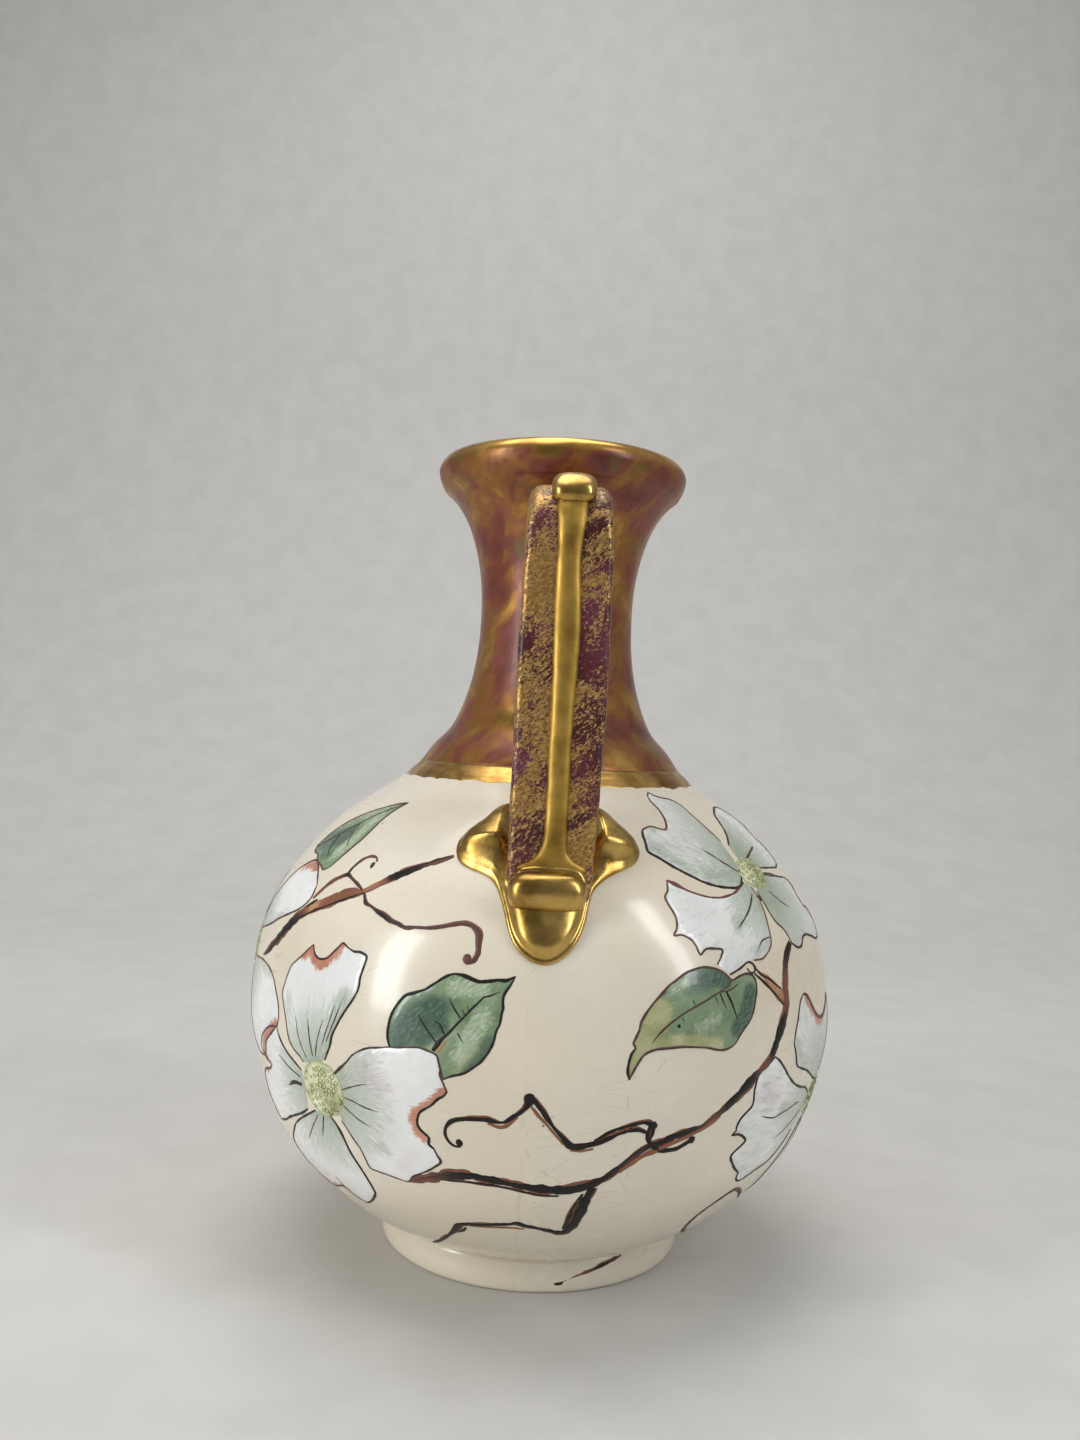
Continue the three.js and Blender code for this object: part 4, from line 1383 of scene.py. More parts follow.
RIGHT_BLOOM = [
    (
        {
            "outline": PETAL_P4,
            "wash": 0.26,
            "shade": [([(52, 104.5), (57, 107.5), (64, 110)], 2.4, 0.5)],
            "rust": [([(77.5, 108.3), (75.2, 105.3), (77.3, 102.5)], 2.3, 1.0)],
        },
        [
            (PETAL_P4[1:9], 0.62, 0.2),
            (PETAL_P4[8:16], 0.55, 0.2),
            (PETAL_P4[15:], 0.5, 0.24),
            ([(54, 101.5), (57, 102.3), (60, 103), (64, 103.7)], 0.6, 0.24, (0.9, 0.1)),
        ],
    ),
    (
        {
            "outline": PETAL_P3,
            "wash": 0.3,
            "shade": [([(55, 94.5), (59.5, 91.5)], 2.6, 0.5), ([(55, 84), (62, 85.5)], 2.2, 0.45)],
            "rust": [([(76.3, 86), (72.3, 90.5), (72.8, 94.2)], 2.3, 1.0)],
        },
        [
            (PETAL_P3[:7], 0.45, 0.34),
            (PETAL_P3[6:15], 0.6, 0.2),
            (PETAL_P3[14:], 0.55, 0.2),
            ([(57.5, 98), (61, 97.4), (66, 97)], 0.5, 0.3, (0.9, 0.1)),
            ([(54.5, 94.6), (57, 92.4), (60, 90.6)], 0.4, 0.34, (0.8, 0.1)),
        ],
    ),
    (
        {
            "outline": PETAL_P2,
            "wash": 0.18,
            "shade": [
                ([(46.5, 95), (42, 91.5), (38.5, 89)], 3.2, 0.55),
                ([(46, 85), (41, 83)], 1.8, 0.5),
            ],
        },
        [
            ([(25, 98.2, 0.9), (26.5, 97.5, 1.3), (28, 96.7, 0.9), (29, 96.2, 0.6), *PETAL_P2[3:10]],
             0.56, 0.42),
            (PETAL_P2[10:19], 0.45, 0.42),
            (PETAL_P2[22:30], 0.5, 0.3),
            ([*PETAL_P2[29:], PETAL_P2[0]], 0.45, 0.4),
            ([(47, 94.5), (44, 92), (41, 90), (38, 88.2)], 0.5, 0.26, (0.9, 0.1)),
            ([(46.3, 85.8), (43.5, 85.2), (41.5, 83.3)], 0.35, 0.3, (0.8, 0.1)),
            ([(48.6, 94.2), (49.5, 93.2)], 1.3, 0.22, (0.8, 0.8)),
        ],
    ),
    (
        {
            "outline": PETAL_P1,
            "wash": 0.3,
            "shade": [
                ([(46, 99), (41, 98.6), (36.5, 99)], 4.0, 0.7),
                ([(24.5, 104.5), (29, 102), (33, 100)], 2.4, 0.5),
                ([(47.3, 104), (46.8, 109)], 3.2, 0.5),
            ],
        },
        [
            (PETAL_P1[2:11], 0.5, 0.38),
            (PETAL_P1[10:21], 0.56, 0.4),
            (PETAL_P1[19:], 0.66, 0.16),
            ([(47.4, 99), (46, 99.8), (43.5, 101.3), (41, 103), (38.8, 104.3)], 0.5, 0.26, (0.9, 0.1)),
        ],
    ),
]

EDGE_HUB = (67, 45.5)
PETAL_Q1 = [
    (66, 49.8), (63, 51), (60, 52.8), (57, 54.5), (54, 55.8), (52, 57), (51, 60), (50.2, 62.3),
    (50.8, 64.6), (51.8, 67), (52.6, 69.5), (53.5, 71.3), (54.8, 72.3), (56.2, 71.8), (57.6, 70.3),
    (59, 68.5), (61, 66.5), (63, 65.3), (66, 65), (69, 66.5), (71.5, 68.8), (73, 66.5), (74, 62.5),
    (73.5, 58.5), (71.5, 54.5), (69, 51),
]
PETAL_Q2 = [
    (44, 60.7), (45.5, 59.5), (47, 57.8), (48.5, 56), (50.5, 54), (53, 52.2), (56, 50.8), (59, 49.8),
    (62.5, 47.5), (62, 43.5), (59, 39.5), (56, 36), (52, 33.5), (49, 33), (46, 32), (43.5, 31.5),
    (42, 32.8), (41.8, 34.2), (40, 35.7), (38.5, 37.5), (37.4, 39.3), (37.8, 40.2), (39, 41.2),
    (40.2, 42.4), (39, 43.8), (37.5, 44.6), (35.9, 44.8), (36.7, 45.5), (36.6, 46.5), (37, 48),
    (38.2, 49.5), (39.3, 50.5), (39.5, 52), (39.2, 54), (39.3, 55.5), (39.5, 57), (40, 58), (41.5, 58.8),
    (43.3, 60.2),
]
EDGE_BLOOM = [
    (
        {
            "outline": PETAL_Q1,
            "wash": 0.26,
            "shade": [([(51.5, 62), (53.5, 58), (58, 55)], 2.8, 0.5)],
            "rust": [([(56, 71.2), (59.5, 67.3), (63.5, 64.6), (67, 65.4), (71, 67.8)], 2.6, 1.0)],
        },
        [
            (PETAL_Q1[:8], 0.55, 0.16),
            (PETAL_Q1[7:13], 0.5, 0.34),
            (PETAL_Q1[12:21], 0.9, 0.34),
            (PETAL_Q1[20:], 0.5, 0.2),
        ],
    ),
    (
        {
            "outline": PETAL_Q2,
            "wash": 0.24,
            "shade": [([(59, 47.5), (50, 47)], 3.2, 0.5)],
            "rust": [([(36.8, 45.3), (38.5, 43)], 1.5, 0.7)],
            "blush": [([(43, 53.5), (45, 51)], 5.0, 0.9), ([(42, 36), (45, 40)], 4.0, 0.5)],
        },
        [
            (PETAL_Q2[:9], 0.6, 0.14),
            (PETAL_Q2[10:18], 0.55, 0.16),
            (PETAL_Q2[17:28], 0.6, 0.14),
            ([*PETAL_Q2[26:], PETAL_Q2[0]], 0.55, 0.16),
            ([(43, 47.5), (45.5, 46.5), (47.5, 46), (50, 46.3), (57, 47)], 0.4, 0.34, (0.2, 0.8)),
            ([(60, 44), (55, 41.5), (50.5, 40)], 0.35, 0.32, (0.8, 0.1)),
        ],
    ),
]

FAR_HUB = (-79, 74)
PETAL_E = [
    (-77.9, 70.8), (-76, 71), (-71.5, 71.6), (-66.5, 72.2), (-61, 71.6), (-58, 70), (-56, 67.6),
    (-54.3, 65), (-53.7, 62.5), (-54, 60.4), (-57, 57.5), (-59.6, 55), (-60.6, 52.6), (-62.8, 50.8),
    (-66, 50.6), (-69.5, 52.2), (-71.5, 55), (-74, 58.5), (-76.3, 63), (-78.3, 68.3),
]
PETAL_F = [
    (-77.9, 77.2), (-76, 77.8), (-71, 79.2), (-66.5, 80.8), (-62.5, 82.8), (-58.5, 84.6), (-55, 86.5),
    (-53.3, 89), (-54.2, 91.8), (-56.5, 93.6), (-59.5, 95.4), (-63, 96.2), (-66.5, 95), (-70.5, 92.4),
    (-74, 88.6), (-76.5, 83.5), (-78.2, 79.4),
]
FAR_BLOOM = [
    (
        {
            "outline": PETAL_F,
            "shade": [([(-60, 83.5), (-70, 79.5)], 2.6, 0.5)],
            "rust": [([(-58.5, 95.2), (-63, 95.4), (-67, 94.4)], 2.4, 1.0)],
        },
        [
            (PETAL_F[:9], 0.5, 0.3),
            (PETAL_F[8:], 0.5, 0.3),
        ],
    ),
    (
        {
            "outline": PETAL_E,
            "shade": [([(-59, 70.5), (-67, 71.5)], 2.6, 0.4)],
            "rust": [([(-54.3, 60.5), (-58, 57.6), (-60.8, 54.6), (-61.5, 52)], 2.9, 1.0)],
        },
        [
            (PETAL_E[:10], 0.45, 0.42),
            (PETAL_E[9:15], 0.55, 0.28),
            (PETAL_E[14:], 0.5, 0.3),
        ],
    ),
]

# Leaves: how the enamel is laid, and the strokes.
LEAF_ONE = [
    (-25.3, 62.8), (-25.9, 64.5), (-26, 66.5), (-25.8, 68.5), (-25.3, 70.3), (-24.5, 72), (-23.3, 73.7),
    (-21.9, 74.3), (-21, 74.8), (-20, 75.3), (-19, 76.2), (-18, 77.1), (-17, 78), (-16, 78.7),
    (-15.2, 79), (-14, 78.9), (-13, 78.6), (-12, 78.2), (-11, 77.9), (-10, 78), (-9, 78.2), (-7.8, 78.5),
    (-6.5, 78.5), (-5.8, 78.8), (-5.3, 79.2), (-5.2, 78.4), (-5.8, 77.6), (-6.4, 76.5), (-6.8, 75.3),
    (-6.8, 74), (-6.7, 73.2), (-6.9, 72), (-7.1, 70), (-7.6, 68.5), (-7.8, 67), (-8.2, 65.5), (-8.8, 64),
    (-9.8, 62.3), (-11, 61), (-12, 60), (-13, 59.4), (-14.5, 58.8), (-15.7, 58), (-16.3, 60),
    (-16.7, 61.5), (-17, 62.6), (-18.5, 63.2), (-20.2, 63.6), (-22.6, 63.2),
]
LEAF_ONE_RIB = [
    (-17.7, 63.5, 1.1), (-16.5, 65.8, 0.9), (-15.3, 67.3, 0.6), (-14, 69.3, 0.5), (-12.8, 71, 0.5),
    (-11.8, 72.5, 0.45), (-10.8, 73.8, 0.4), (-9.9, 75, 0.4), (-9, 75.3, 0.35), (-8.3, 75.7, 0.35),
    (-7.4, 76.3, 0.3),
]
FIRST_LEAF = (
    {
        "outline": LEAF_ONE,
        "midrib": [p[:2] for p in LEAF_ONE_RIB],
        "deep": [
            ([(-23.5, 66), (-21, 69.5), (-18, 71.5)], 6.5, 1.0),
            ([(-20, 65.5), (-16.5, 68.5)], 4.4, 0.85),
            ([(-11.8, 60.3), (-9.6, 63.5), (-8.6, 66.5)], 3.4, 0.7),
        ],
        "pale": [([(-15, 76.5), (-10.5, 76.5)], 4.2, 0.8), ([(-13, 63), (-10, 71)], 4.6, 0.8)],
        "gold": [([(-17, 63.3), (-15.4, 66)], 1.6, 0.5), ([(-13.5, 60), (-10.5, 65)], 3.4, 0.5)],
    },
    [
        (LEAF_ONE[:15], 0.6, 0.1, EVEN, 4),
        ([*[(*p, 0.75) for p in LEAF_ONE[14:22]], (-6.5, 78.5, 1.0), (-5.8, 78.9, 0.9), (-5, 79.4, 0.5)],
         0.8, 0.06),
        ([(-5.2, 79, 0.6), *LEAF_ONE[26:43]], 0.55, 0.12),
        ([*LEAF_ONE[42:46]], 0.5, 0.3),
        (LEAF_ONE_RIB, None, 0.12, (0.9, 0.3)),
        ([(-16.9, 63.4), (-15.6, 65.9)], 0.7, 0.8, (0.9, 0.2)),
        ([(-17.3, 65.3), (-18.8, 67.3), (-20, 69), (-20.7, 70.3)], 0.36, 0.12, (0.9, 0.2)),
        ([(-16, 67), (-17, 69), (-18, 69.5)], 0.36, 0.12, (0.9, 0.2)),
        ([(-13.5, 70.5), (-14.8, 72.5), (-15.7, 74.3)], 0.36, 0.12, (0.9, 0.2)),
        ([(-12.7, 71), (-13.3, 72.2)], 0.36, 0.12, (0.9, 0.2)),
        ([(-12.2, 72), (-12.5, 73)], 0.36, 0.12, (0.9, 0.2)),
        ([(-13.8, 67.5), (-12.8, 65.8)], 0.36, 0.12, (0.9, 0.2)),
    ],
)

LEAF_TWO = [
    (13.9, 59.7), (13.6, 61.5), (13.8, 63.5), (14.2, 65), (14.8, 66), (14.4, 66.8), (14.9, 68.2),
    (15.4, 69.5), (15.6, 70.8), (16.3, 72.3), (17.5, 74.2), (18.8, 75.8), (20, 77.1), (21, 78.2),
    (22.2, 79), (23.5, 80), (24.5, 80.5), (26, 81), (27.5, 81.3), (29.5, 81.1), (31, 80.6), (32.3, 79.8),
    (33.2, 78.8), (33.9, 78.2), (36, 79), (37.5, 79.2), (38.8, 78.8), (39.5, 77.7), (39.6, 76),
    (39.2, 74.3), (38.6, 72.3), (37.8, 70.3), (36.8, 69), (35.8, 68), (34.8, 66.8), (33.8, 65.3),
    (32.6, 64.6), (31, 64.3), (29.5, 64.6), (28, 65.1), (25.5, 65.5), (23, 65.8), (20.5, 65.7),
    (18.5, 65.6), (17, 65.1), (16, 64.3), (15.2, 62.8), (14.5, 61.3),
]
LEAF_TWO_RIB = [
    (15.4, 64.6), (17.6, 66.9), (19, 68.8), (20.5, 70.3), (22, 71.5), (24, 72.8), (26, 73.8), (28, 74.8),
    (30, 75.8), (32, 76.8), (33, 77.5), (33.7, 78.4),
]
SECOND_LEAF = (
    {
        "outline": LEAF_TWO,
        "midrib": LEAF_TWO_RIB[::-1],
        "deep": [
            ([(26, 79), (30, 79), (32.3, 78.3)], 3.6, 1.0),
            ([(24, 76.5), (28.5, 76.8)], 2.6, 0.55),
            ([(37.8, 75.5), (36.2, 71), (34.2, 68.3)], 3.8, 1.0),
        ],
        "pale": [([(21, 77), (24, 78.5)], 2.6, 0.7), ([(30, 71), (26, 69)], 3.6, 0.6)],
        "gold": [
            ([(14.3, 61), (15.3, 65), (17.5, 69), (19, 73)], 5.5, 1.0),
            ([(17, 65.8), (23, 66.8), (30, 65.6)], 3.2, 0.9),
        ],
        "level": 1,
    },
    [
        (LEAF_TWO[:6], 0.6, 0.16),
        (LEAF_TWO[4:24], 0.5, 0.34),
        (LEAF_TWO[23:36], 0.5, 0.22),
        ([*LEAF_TWO[35:], LEAF_TWO[0]], 0.5, 0.3),
        (LEAF_TWO_RIB[1:], 0.45, 0.3, (0.3, 0.9)),
        ([(31, 76.1), (33, 76.3), (35, 77.3)], 0.4, 0.24, (0.3, 0.6)),
        ([(32.2, 76.1), (33.2, 73.8), (34.3, 70.3)], 0.6, 0.08, (0.9, 0.2)),
        ([(30.8, 75.9), (31.6, 73.5), (32, 72.7)], 0.4, 0.08, (0.9, 0.2)),
        ([(29.8, 75.2), (30.3, 73.8)], 0.36, 0.08, (0.9, 0.2)),
        ([(25.2, 74.9), (25.7, 73.6)], 0.36, 0.08, (0.9, 0.2)),
        ([(23.1, 71.6), (23.4, 70.7)], 0.4, 0.08, (0.9, 0.2)),
        ([(33.5, 79.4), (36, 80.4), (38.5, 81.5), (39.6, 80.8), (39.7, 79.8)], 0.5, 0.2),
        ([(37.8, 80.3), (38.5, 79.3), (39.5, 79.3), (40, 80.3), (39.3, 81.3)], 0.45, 0.2),
        ([(40, 79.6, 0.6, 0.85), (42.5, 77.8, 1.4, 0.85), (45.5, 74.3, 2.6, 0.8),
         (47.2, 72.6, 2.8, 0.7)], None, None, (0.4, 0.9), 0, 0.07),
        ([(40, 80), (41.3, 78.6), (43.5, 77.3), (45.3, 75.8), (46.5, 75)], 0.7, 0.22, EVEN, 1),
        ([(39.5, 79), (41.5, 77.2), (43.5, 75.2), (45.5, 73), (47, 71.3)], 0.6, 0.18, EVEN, 1),
    ],
)
LEAF_DOTS = [((22.4, 70), 0.5, 0.1, 0)]

LEAF_THREE = [
    (-46.6, 110.9), (-50, 110.6), (-54, 109.6), (-58, 108.4), (-62, 106.8), (-66, 104.6), (-69.5, 101.6),
    (-71, 98.8), (-68.5, 97.6), (-65, 97.4), (-62, 96.2), (-58.5, 95.6), (-55.6, 94.9), (-53.8, 95.8),
    (-52.6, 98), (-51.3, 100.3), (-50, 102.3), (-49.2, 104.6), (-49, 107), (-48.2, 109.3),
]
LEAF_THREE_RIB = [(-70, 98.6), (-64, 101.5), (-58, 105), (-52, 108.6), (-47.5, 110.6)]
THIRD_LEAF = (
    {
        "outline": LEAF_THREE,
        "midrib": LEAF_THREE_RIB,
        "deep": [([(-68, 100), (-62, 101.5), (-58, 102.5)], 5, 1.0), ([(-63, 97.5), (-58, 98)], 3, 0.6)],
        "pale": [([(-52, 107), (-53, 102), (-56, 99)], 4.2, 0.9), ([(-60, 107), (-53, 109.4)], 2.6, 0.6)],
        "gold": [([(-53, 105.5), (-54.5, 101)], 2.2, 0.4)],
    },
    [
        (LEAF_THREE[:8], 0.4, 0.42),
        (LEAF_THREE[7:14], 0.45, 0.34),
        ([*LEAF_THREE[13:], LEAF_THREE[0]], 0.5, 0.3),
        ([(-50.5, 110.5), (-46.4, 111)], 0.9, 0.3, (0.3, 0.3)),
        (LEAF_THREE_RIB, 0.45, 0.26, (0.9, 0.3)),
        ([(-62, 102.6), (-61, 99.5), (-58.5, 97.6)], 0.36, 0.2, (0.9, 0.2)),
        ([(-57, 105.5), (-55.5, 102.3), (-53.5, 100.4)], 0.36, 0.26, (0.9, 0.2)),
    ],
)

# Tones of ink, from 0 to 1.
BLACK, DARK, BROWN, TAN = 0.03, 0.05, 0.55, 0.85
# Branches, twigs and tendrils.
BRANCH_STROKES = [
    # Upper left branch, from the mount's left lobe.
    ([(-21.3, 101.3, 0.9, 0.42), (-24, 100.3, 1.2, 0.4), (-27, 99, 1.3, 0.3), (-30, 97.6, 1.6, BLACK),
     (-33, 96, 1.7, BLACK), (-35, 94.9, 1.5, 0.6), (-37.5, 93.2, 1.2, 0.72), (-39.5, 92, 1.5, 0.6),
     (-42, 91.3, 2.0, BROWN), (-45, 90, 2.5, BROWN), (-48, 88.7, 2.2, 0.6), (-51, 87.4, 1.9, TAN),
     (-54, 85, 2.0, 0.3), (-57, 82, 2.2, 0.12), (-60, 78.5, 1.9, 0.16), (-63.5, 75.2, 1.5, 0.2),
     (-66.5, 73.4, 1.0, 0.34)], None, None, (0.9, 0.3)),
    ([(-22, 101.2), (-26, 99.6), (-30, 97.9), (-34, 95.8)], 0.6, BLACK, EVEN, 2),
    ([(-38.5, 92), (-43, 90), (-47, 88), (-51, 86), (-54.5, 83.8)], 0.55, 0.14, EVEN, 2),
    ([(-50.6, 88.8), (-53, 87)], 1.1, 0.1, EVEN, 2),
    # Its tendril.
    ([(-52.5, 89, 0.8, 0.5), (-51.5, 90.5, 0.9, 0.5), (-50, 92.5, 0.9, 0.45), (-48, 94, 0.9, 0.4),
     (-46.2, 95, 1.0, 0.2), (-45.5, 95, 0.8, 0.2), (-43.5, 94.4, 0.6, 0.3), (-41, 93.5, 0.6, 0.3),
     (-39.3, 92.6, 0.6, 0.3), (-38, 91.8, 0.7, 0.26), (-36.7, 90.3, 0.8, 0.22), (-35, 89.8, 0.6, 0.3),
     (-33, 89, 0.9, 0.2), (-31, 88.3, 0.9, 0.16), (-29.5, 87.6, 0.9, 0.2), (-27.5, 87.2, 0.9, 0.2),
     (-26, 86.7, 0.8, 0.26), (-24, 87, 0.6, 0.3), (-21, 87.2, 0.6, 0.3), (-18.5, 87.8, 0.7, 0.36),
     (-16.5, 88.4, 0.8, 0.36), (-14.8, 88.7, 0.8, 0.36), (-13.2, 88.2, 0.9, 0.34),
     (-12.1, 87, 1.2, 0.36), (-11.8, 85, 1.1, 0.38), (-11.7, 83.3, 1.0, 0.36), (-12.3, 81.8, 1.1, 0.34),
     (-13.3, 81.3, 1.2, 0.36)], None, None, EVEN, 1),
    ([(-46, 95, 1.0, 0.16), (-45.8, 96.3, 0.9, 0.2), (-45, 97.8, 0.7, 0.34), (-43.5, 99, 0.6, 0.44),
     (-42, 99.4, 0.6, 0.46), (-40.5, 99.2, 0.6, 0.44), (-39.8, 98.5, 0.7, 0.4)],),
    ([(-13.0, 44.0, 0.6), (-13.8, 43.8, 0.5), (-14.8, 44.5, 0.5), (-15.5, 45.8, 0.6), (-15.6, 47, 0.6),
     (-15.2, 48.4, 0.6), (-14.5, 49.3, 0.7), (-13.5, 49.8, 0.8), (-12, 50.2, 0.8), (-10.5, 50.4, 0.9),
     (-8.5, 50.5, 1.0), (-7.2, 50.2, 0.8), (-6.2, 50.1, 0.6), (-5, 50.8, 0.8), (-4, 51.8, 0.8),
     (-3, 52.8, 0.9), (-2.3, 53.8, 1.1), (-1.9, 55, 1.4), (-1.7, 55.9, 1.5)], None, BLACK, (0.8, 0.8), 1),
    ([(-8.4, 49.7), (-6.2, 49.1), (-5.1, 50), (-3.6, 51.6)], 0.7, 0.6),
    ([(-1.2, 55.6, 1.3), (-0.6, 54.6, 1.1), (0.5, 52.8, 0.9), (1.3, 51.3, 0.8), (2.3, 49.6, 0.8),
     (3.3, 48.2, 0.9), (4.2, 47, 1.0), (5, 45.8, 1.2), (6, 45.4, 1.2), (7.5, 45.7, 1.1), (10, 46.5, 1.0),
     (11.5, 47.3, 0.9), (13, 48.3, 0.9), (15, 49, 1.0), (16.5, 48.9, 1.0), (17.8, 48.2, 0.9)], None,
     BLACK, EVEN, 1),
    ([(-1.6, 54), (-0.5, 52.3), (0.8, 50.6), (2.4, 48.3), (4.0, 46)], 0.5, 0.6),
    ([(5.2, 44.7), (7, 44.6), (9, 45)], 0.6, 0.62),
    ([(9, 46.9, 0.4), (10, 47.5, 0.6), (11.5, 48.7, 0.6), (13.5, 49.6, 0.6), (15.5, 50.2, 0.7),
     (17.2, 50.5, 0.9), (18.3, 50.1, 1.0), (18.9, 48.9, 0.9), (18.9, 47.5, 0.8), (18.6, 46.5, 0.7)],
     None, BLACK, EVEN, 1),
    ([(11, 47.9), (13.6, 48.9), (16.2, 49.6)], 0.5, 0.6),
    ([(18.3, 49.6, 0.8), (18.2, 47, 0.9), (19, 45.5, 0.9), (20.2, 44.3, 1.0), (21, 43.8, 1.0),
     (22.5, 43.7, 0.9), (24, 43.8, 0.9), (25.3, 44.5, 0.9), (26.5, 45.3, 1.2), (27, 46, 1.0)], None,
     BLACK, EVEN, 1),
    # Main branch.
    ([(-23.6, 33.4, 0.8, 0.5), (-21.5, 34.4, 1.5, 0.5), (-19.5, 35.4, 1.7, 0.46), (-17, 36.4, 1.9, 0.3),
     (-14, 37.1, 1.9, 0.16), (-11, 37.4, 1.6, BLACK), (-9, 37.1, 1.5, BLACK), (-6, 36.7, 1.5, 0.12),
     (-3, 36.1, 1.6, BLACK), (0, 35.6, 1.7, BLACK), (3, 35.4, 1.9, BLACK), (6, 35.6, 1.9, BLACK),
     (9, 36.6, 1.8, 0.08), (11.3, 37.9, 1.4, 0.12), (14, 40.5, 1.2, 0.24), (16, 42.6, 1.2, 0.3),
     (18.4, 44.8, 1.3, 0.2), (20.8, 45.7, 1.4, BLACK), (23, 46.7, 1.4, BLACK), (26, 47.6, 1.3, 0.12),
     (28.5, 48.2, 1.2, 0.3), (30, 49.4, 1.3, 0.42), (32, 51, 1.5, 0.3), (34, 52.8, 1.8, BLACK),
     (36, 54.8, 2.0, BLACK), (38, 56.8, 2.0, BLACK), (40, 58.4, 1.5, 0.42), (42, 60, 1.5, 0.42),
     (43.5, 62, 1.8, BLACK), (45, 65, 2.1, BLACK), (46.5, 67.8, 2.1, BLACK), (47.9, 70.4, 2.0, 0.4),
     (48.1, 72.5, 2.0, 0.48), (48.1, 75, 2.0, 0.5), (48.5, 77.5, 1.9, 0.42), (49.5, 80, 1.7, 0.24),
     (51, 82, 1.8, 0.14), (53.2, 83.8, 2.0, 0.08)], None, None, (0.3, 0.8)),
    ([(-22.5, 34), (-19, 35.8), (-15.5, 37), (-11.5, 37.9)], 0.5, BLACK, EVEN, 2),
    ([(-17, 35.5), (-13, 35.8), (-8, 35.7), (-5, 35.3), (-2, 34.6), (1, 34), (4, 33.9)], 0.5, 0.12),
    ([(14, 39.5), (16, 41.5), (18, 42.9), (20, 43.8), (22, 44.9), (24, 45.6), (26, 46.5), (27.5, 47.3),
     (29.5, 48.5), (32, 50)], 0.9, 0.62, EVEN, 1),
    ([(12.2, 39), (14.5, 41.6), (17, 44.3), (19.4, 46)], 0.4, 0.1, EVEN, 2),
    # Twig hanging from it.
    ([(9.8, 36, 1.6), (8.9, 32.6, 1.9), (8.2, 29, 2.1), (7.6, 26, 2.1), (6.6, 23.6, 2.0), (5, 23.2, 1.6),
     (3, 23.8, 1.2), (0, 24.7, 1.1), (-2, 25.2, 1.1), (-3.2, 25.8, 1.1), (-5, 25.3, 1.0),
     (-8, 24.8, 1.1), (-10, 24.4, 1.1), (-12.5, 24, 1.2), (-14.5, 23.6, 1.3), (-15.6, 23.1, 1.3),
     (-17, 21.2, 1.2), (-19, 19, 1.0), (-21.5, 16.8, 0.9), (-24, 14.8, 0.8), (-27, 13, 0.7),
     (-29, 12, 0.5)], None, BLACK, (0.9, 0.3), 1),
    ([(8.2, 34.4), (6.9, 30.2), (6.2, 26), (5.9, 24.5)], 0.9, 0.08, EVEN, 2),
    ([(7.6, 33), (6.9, 29.6)], 0.35, 0.85, EVEN, 3),
    ([(-13.4, 23.3), (-9, 23.8), (-5, 24.2), (-1.8, 24)], 0.55, 0.6),
    ([(-16.5, 20.5), (-15.2, 21.2), (-14.3, 22.5)], 0.7, 0.1, EVEN, 1),
    # Low tendril on the right, and the stroke that crosses the foot.
    ([(56, 12.3, 0.8), (52, 12.7, 0.8), (48, 13.6, 0.8), (44, 15.3, 0.9), (41, 17.3, 0.9),
     (39.3, 19.5, 0.9), (38.6, 21.8, 0.9), (39, 24.2, 0.8), (40.5, 26.2, 0.8), (42.5, 27.8, 0.8),
     (44.5, 28.6, 0.9), (46.5, 28, 0.9), (49, 26.5, 0.8), (52, 24.5, 0.7), (56, 22, 0.5)], None, 0.26),
    ([(8.6, 2.4, 0.8, 0.1), (11, 2.6, 1.1, 0.08), (14, 3.2, 0.8, 0.3), (18, 3.9, 0.7, 0.46),
     (22, 4.5, 0.8, 0.44), (26, 5.2, 0.9, 0.14), (30, 5.8, 0.7, 0.24), (35, 6.6, 0.5, 0.34)],),
]
BRANCH_DOTS = [
    ((-13.4, 82), 1.05, 0.4, 2), ((-40.4, 97.7), 0.7, 0.24, 1), ((-13.2, 44.7), 0.85, 0.06, 1),
    ((26.8, 45.5), 0.9, 0.06, 1), ((-1.8, 55.4), 1.3, 0.04, 2), ((18.9, 49.6), 1.0, 0.04, 2),
]
BACK_STROKES = [
    ([(79, 36, 1.2, 0.45), (88, 33, 1.8, DARK), (98, 31.5, 2.0, DARK), (108, 33, 1.8, 0.4),
     (117, 37, 1.6, 0.5), (126, 43, 1.8, DARK), (134, 50, 2.0, DARK), (140, 58, 1.9, 0.42),
     (146, 66, 1.7, 0.5), (152, 76, 1.8, 0.2), (157, 86, 1.6, DARK), (165, 93, 1.3, 0.4),
     (175, 97, 1.0, 0.5)],),
    ([(118, 37.5, 0.9), (124, 34, 1.0), (131, 32, 1.1), (138, 29, 1.2), (144, 25, 1.0), (150, 23, 0.9),
     (156, 25, 0.8), (159, 29, 0.8), (157, 32, 0.7), (153, 31.5, 0.6)], None, DARK),
    ([(192, 46, 1.0, 0.4), (199, 51, 1.5, DARK), (207, 56, 1.8, DARK), (214, 61, 1.9, 0.46),
     (220, 68, 1.8, 0.3), (224, 75, 1.5, DARK)],),
    ([(207, 56, 1.0), (214, 53, 1.1), (222, 51, 1.1), (231, 46, 1.3), (239, 44, 1.3), (247, 46, 1.2),
     (253, 50, 0.9)], None, 0.14),
    ([(140, 58, 0.8), (135, 63, 0.8), (131, 66, 0.9), (128, 68, 0.8)], None, 0.2),
    ([(236, 88, 0.8), (243, 92, 0.9), (250, 93, 0.9), (257, 90, 0.8), (262, 88, 0.8), (266, 90, 0.7),
     (266, 93, 0.7), (263, 94, 0.6)], None, 0.26),
]


# ------------------------------------------------------------------------ the painting laid out


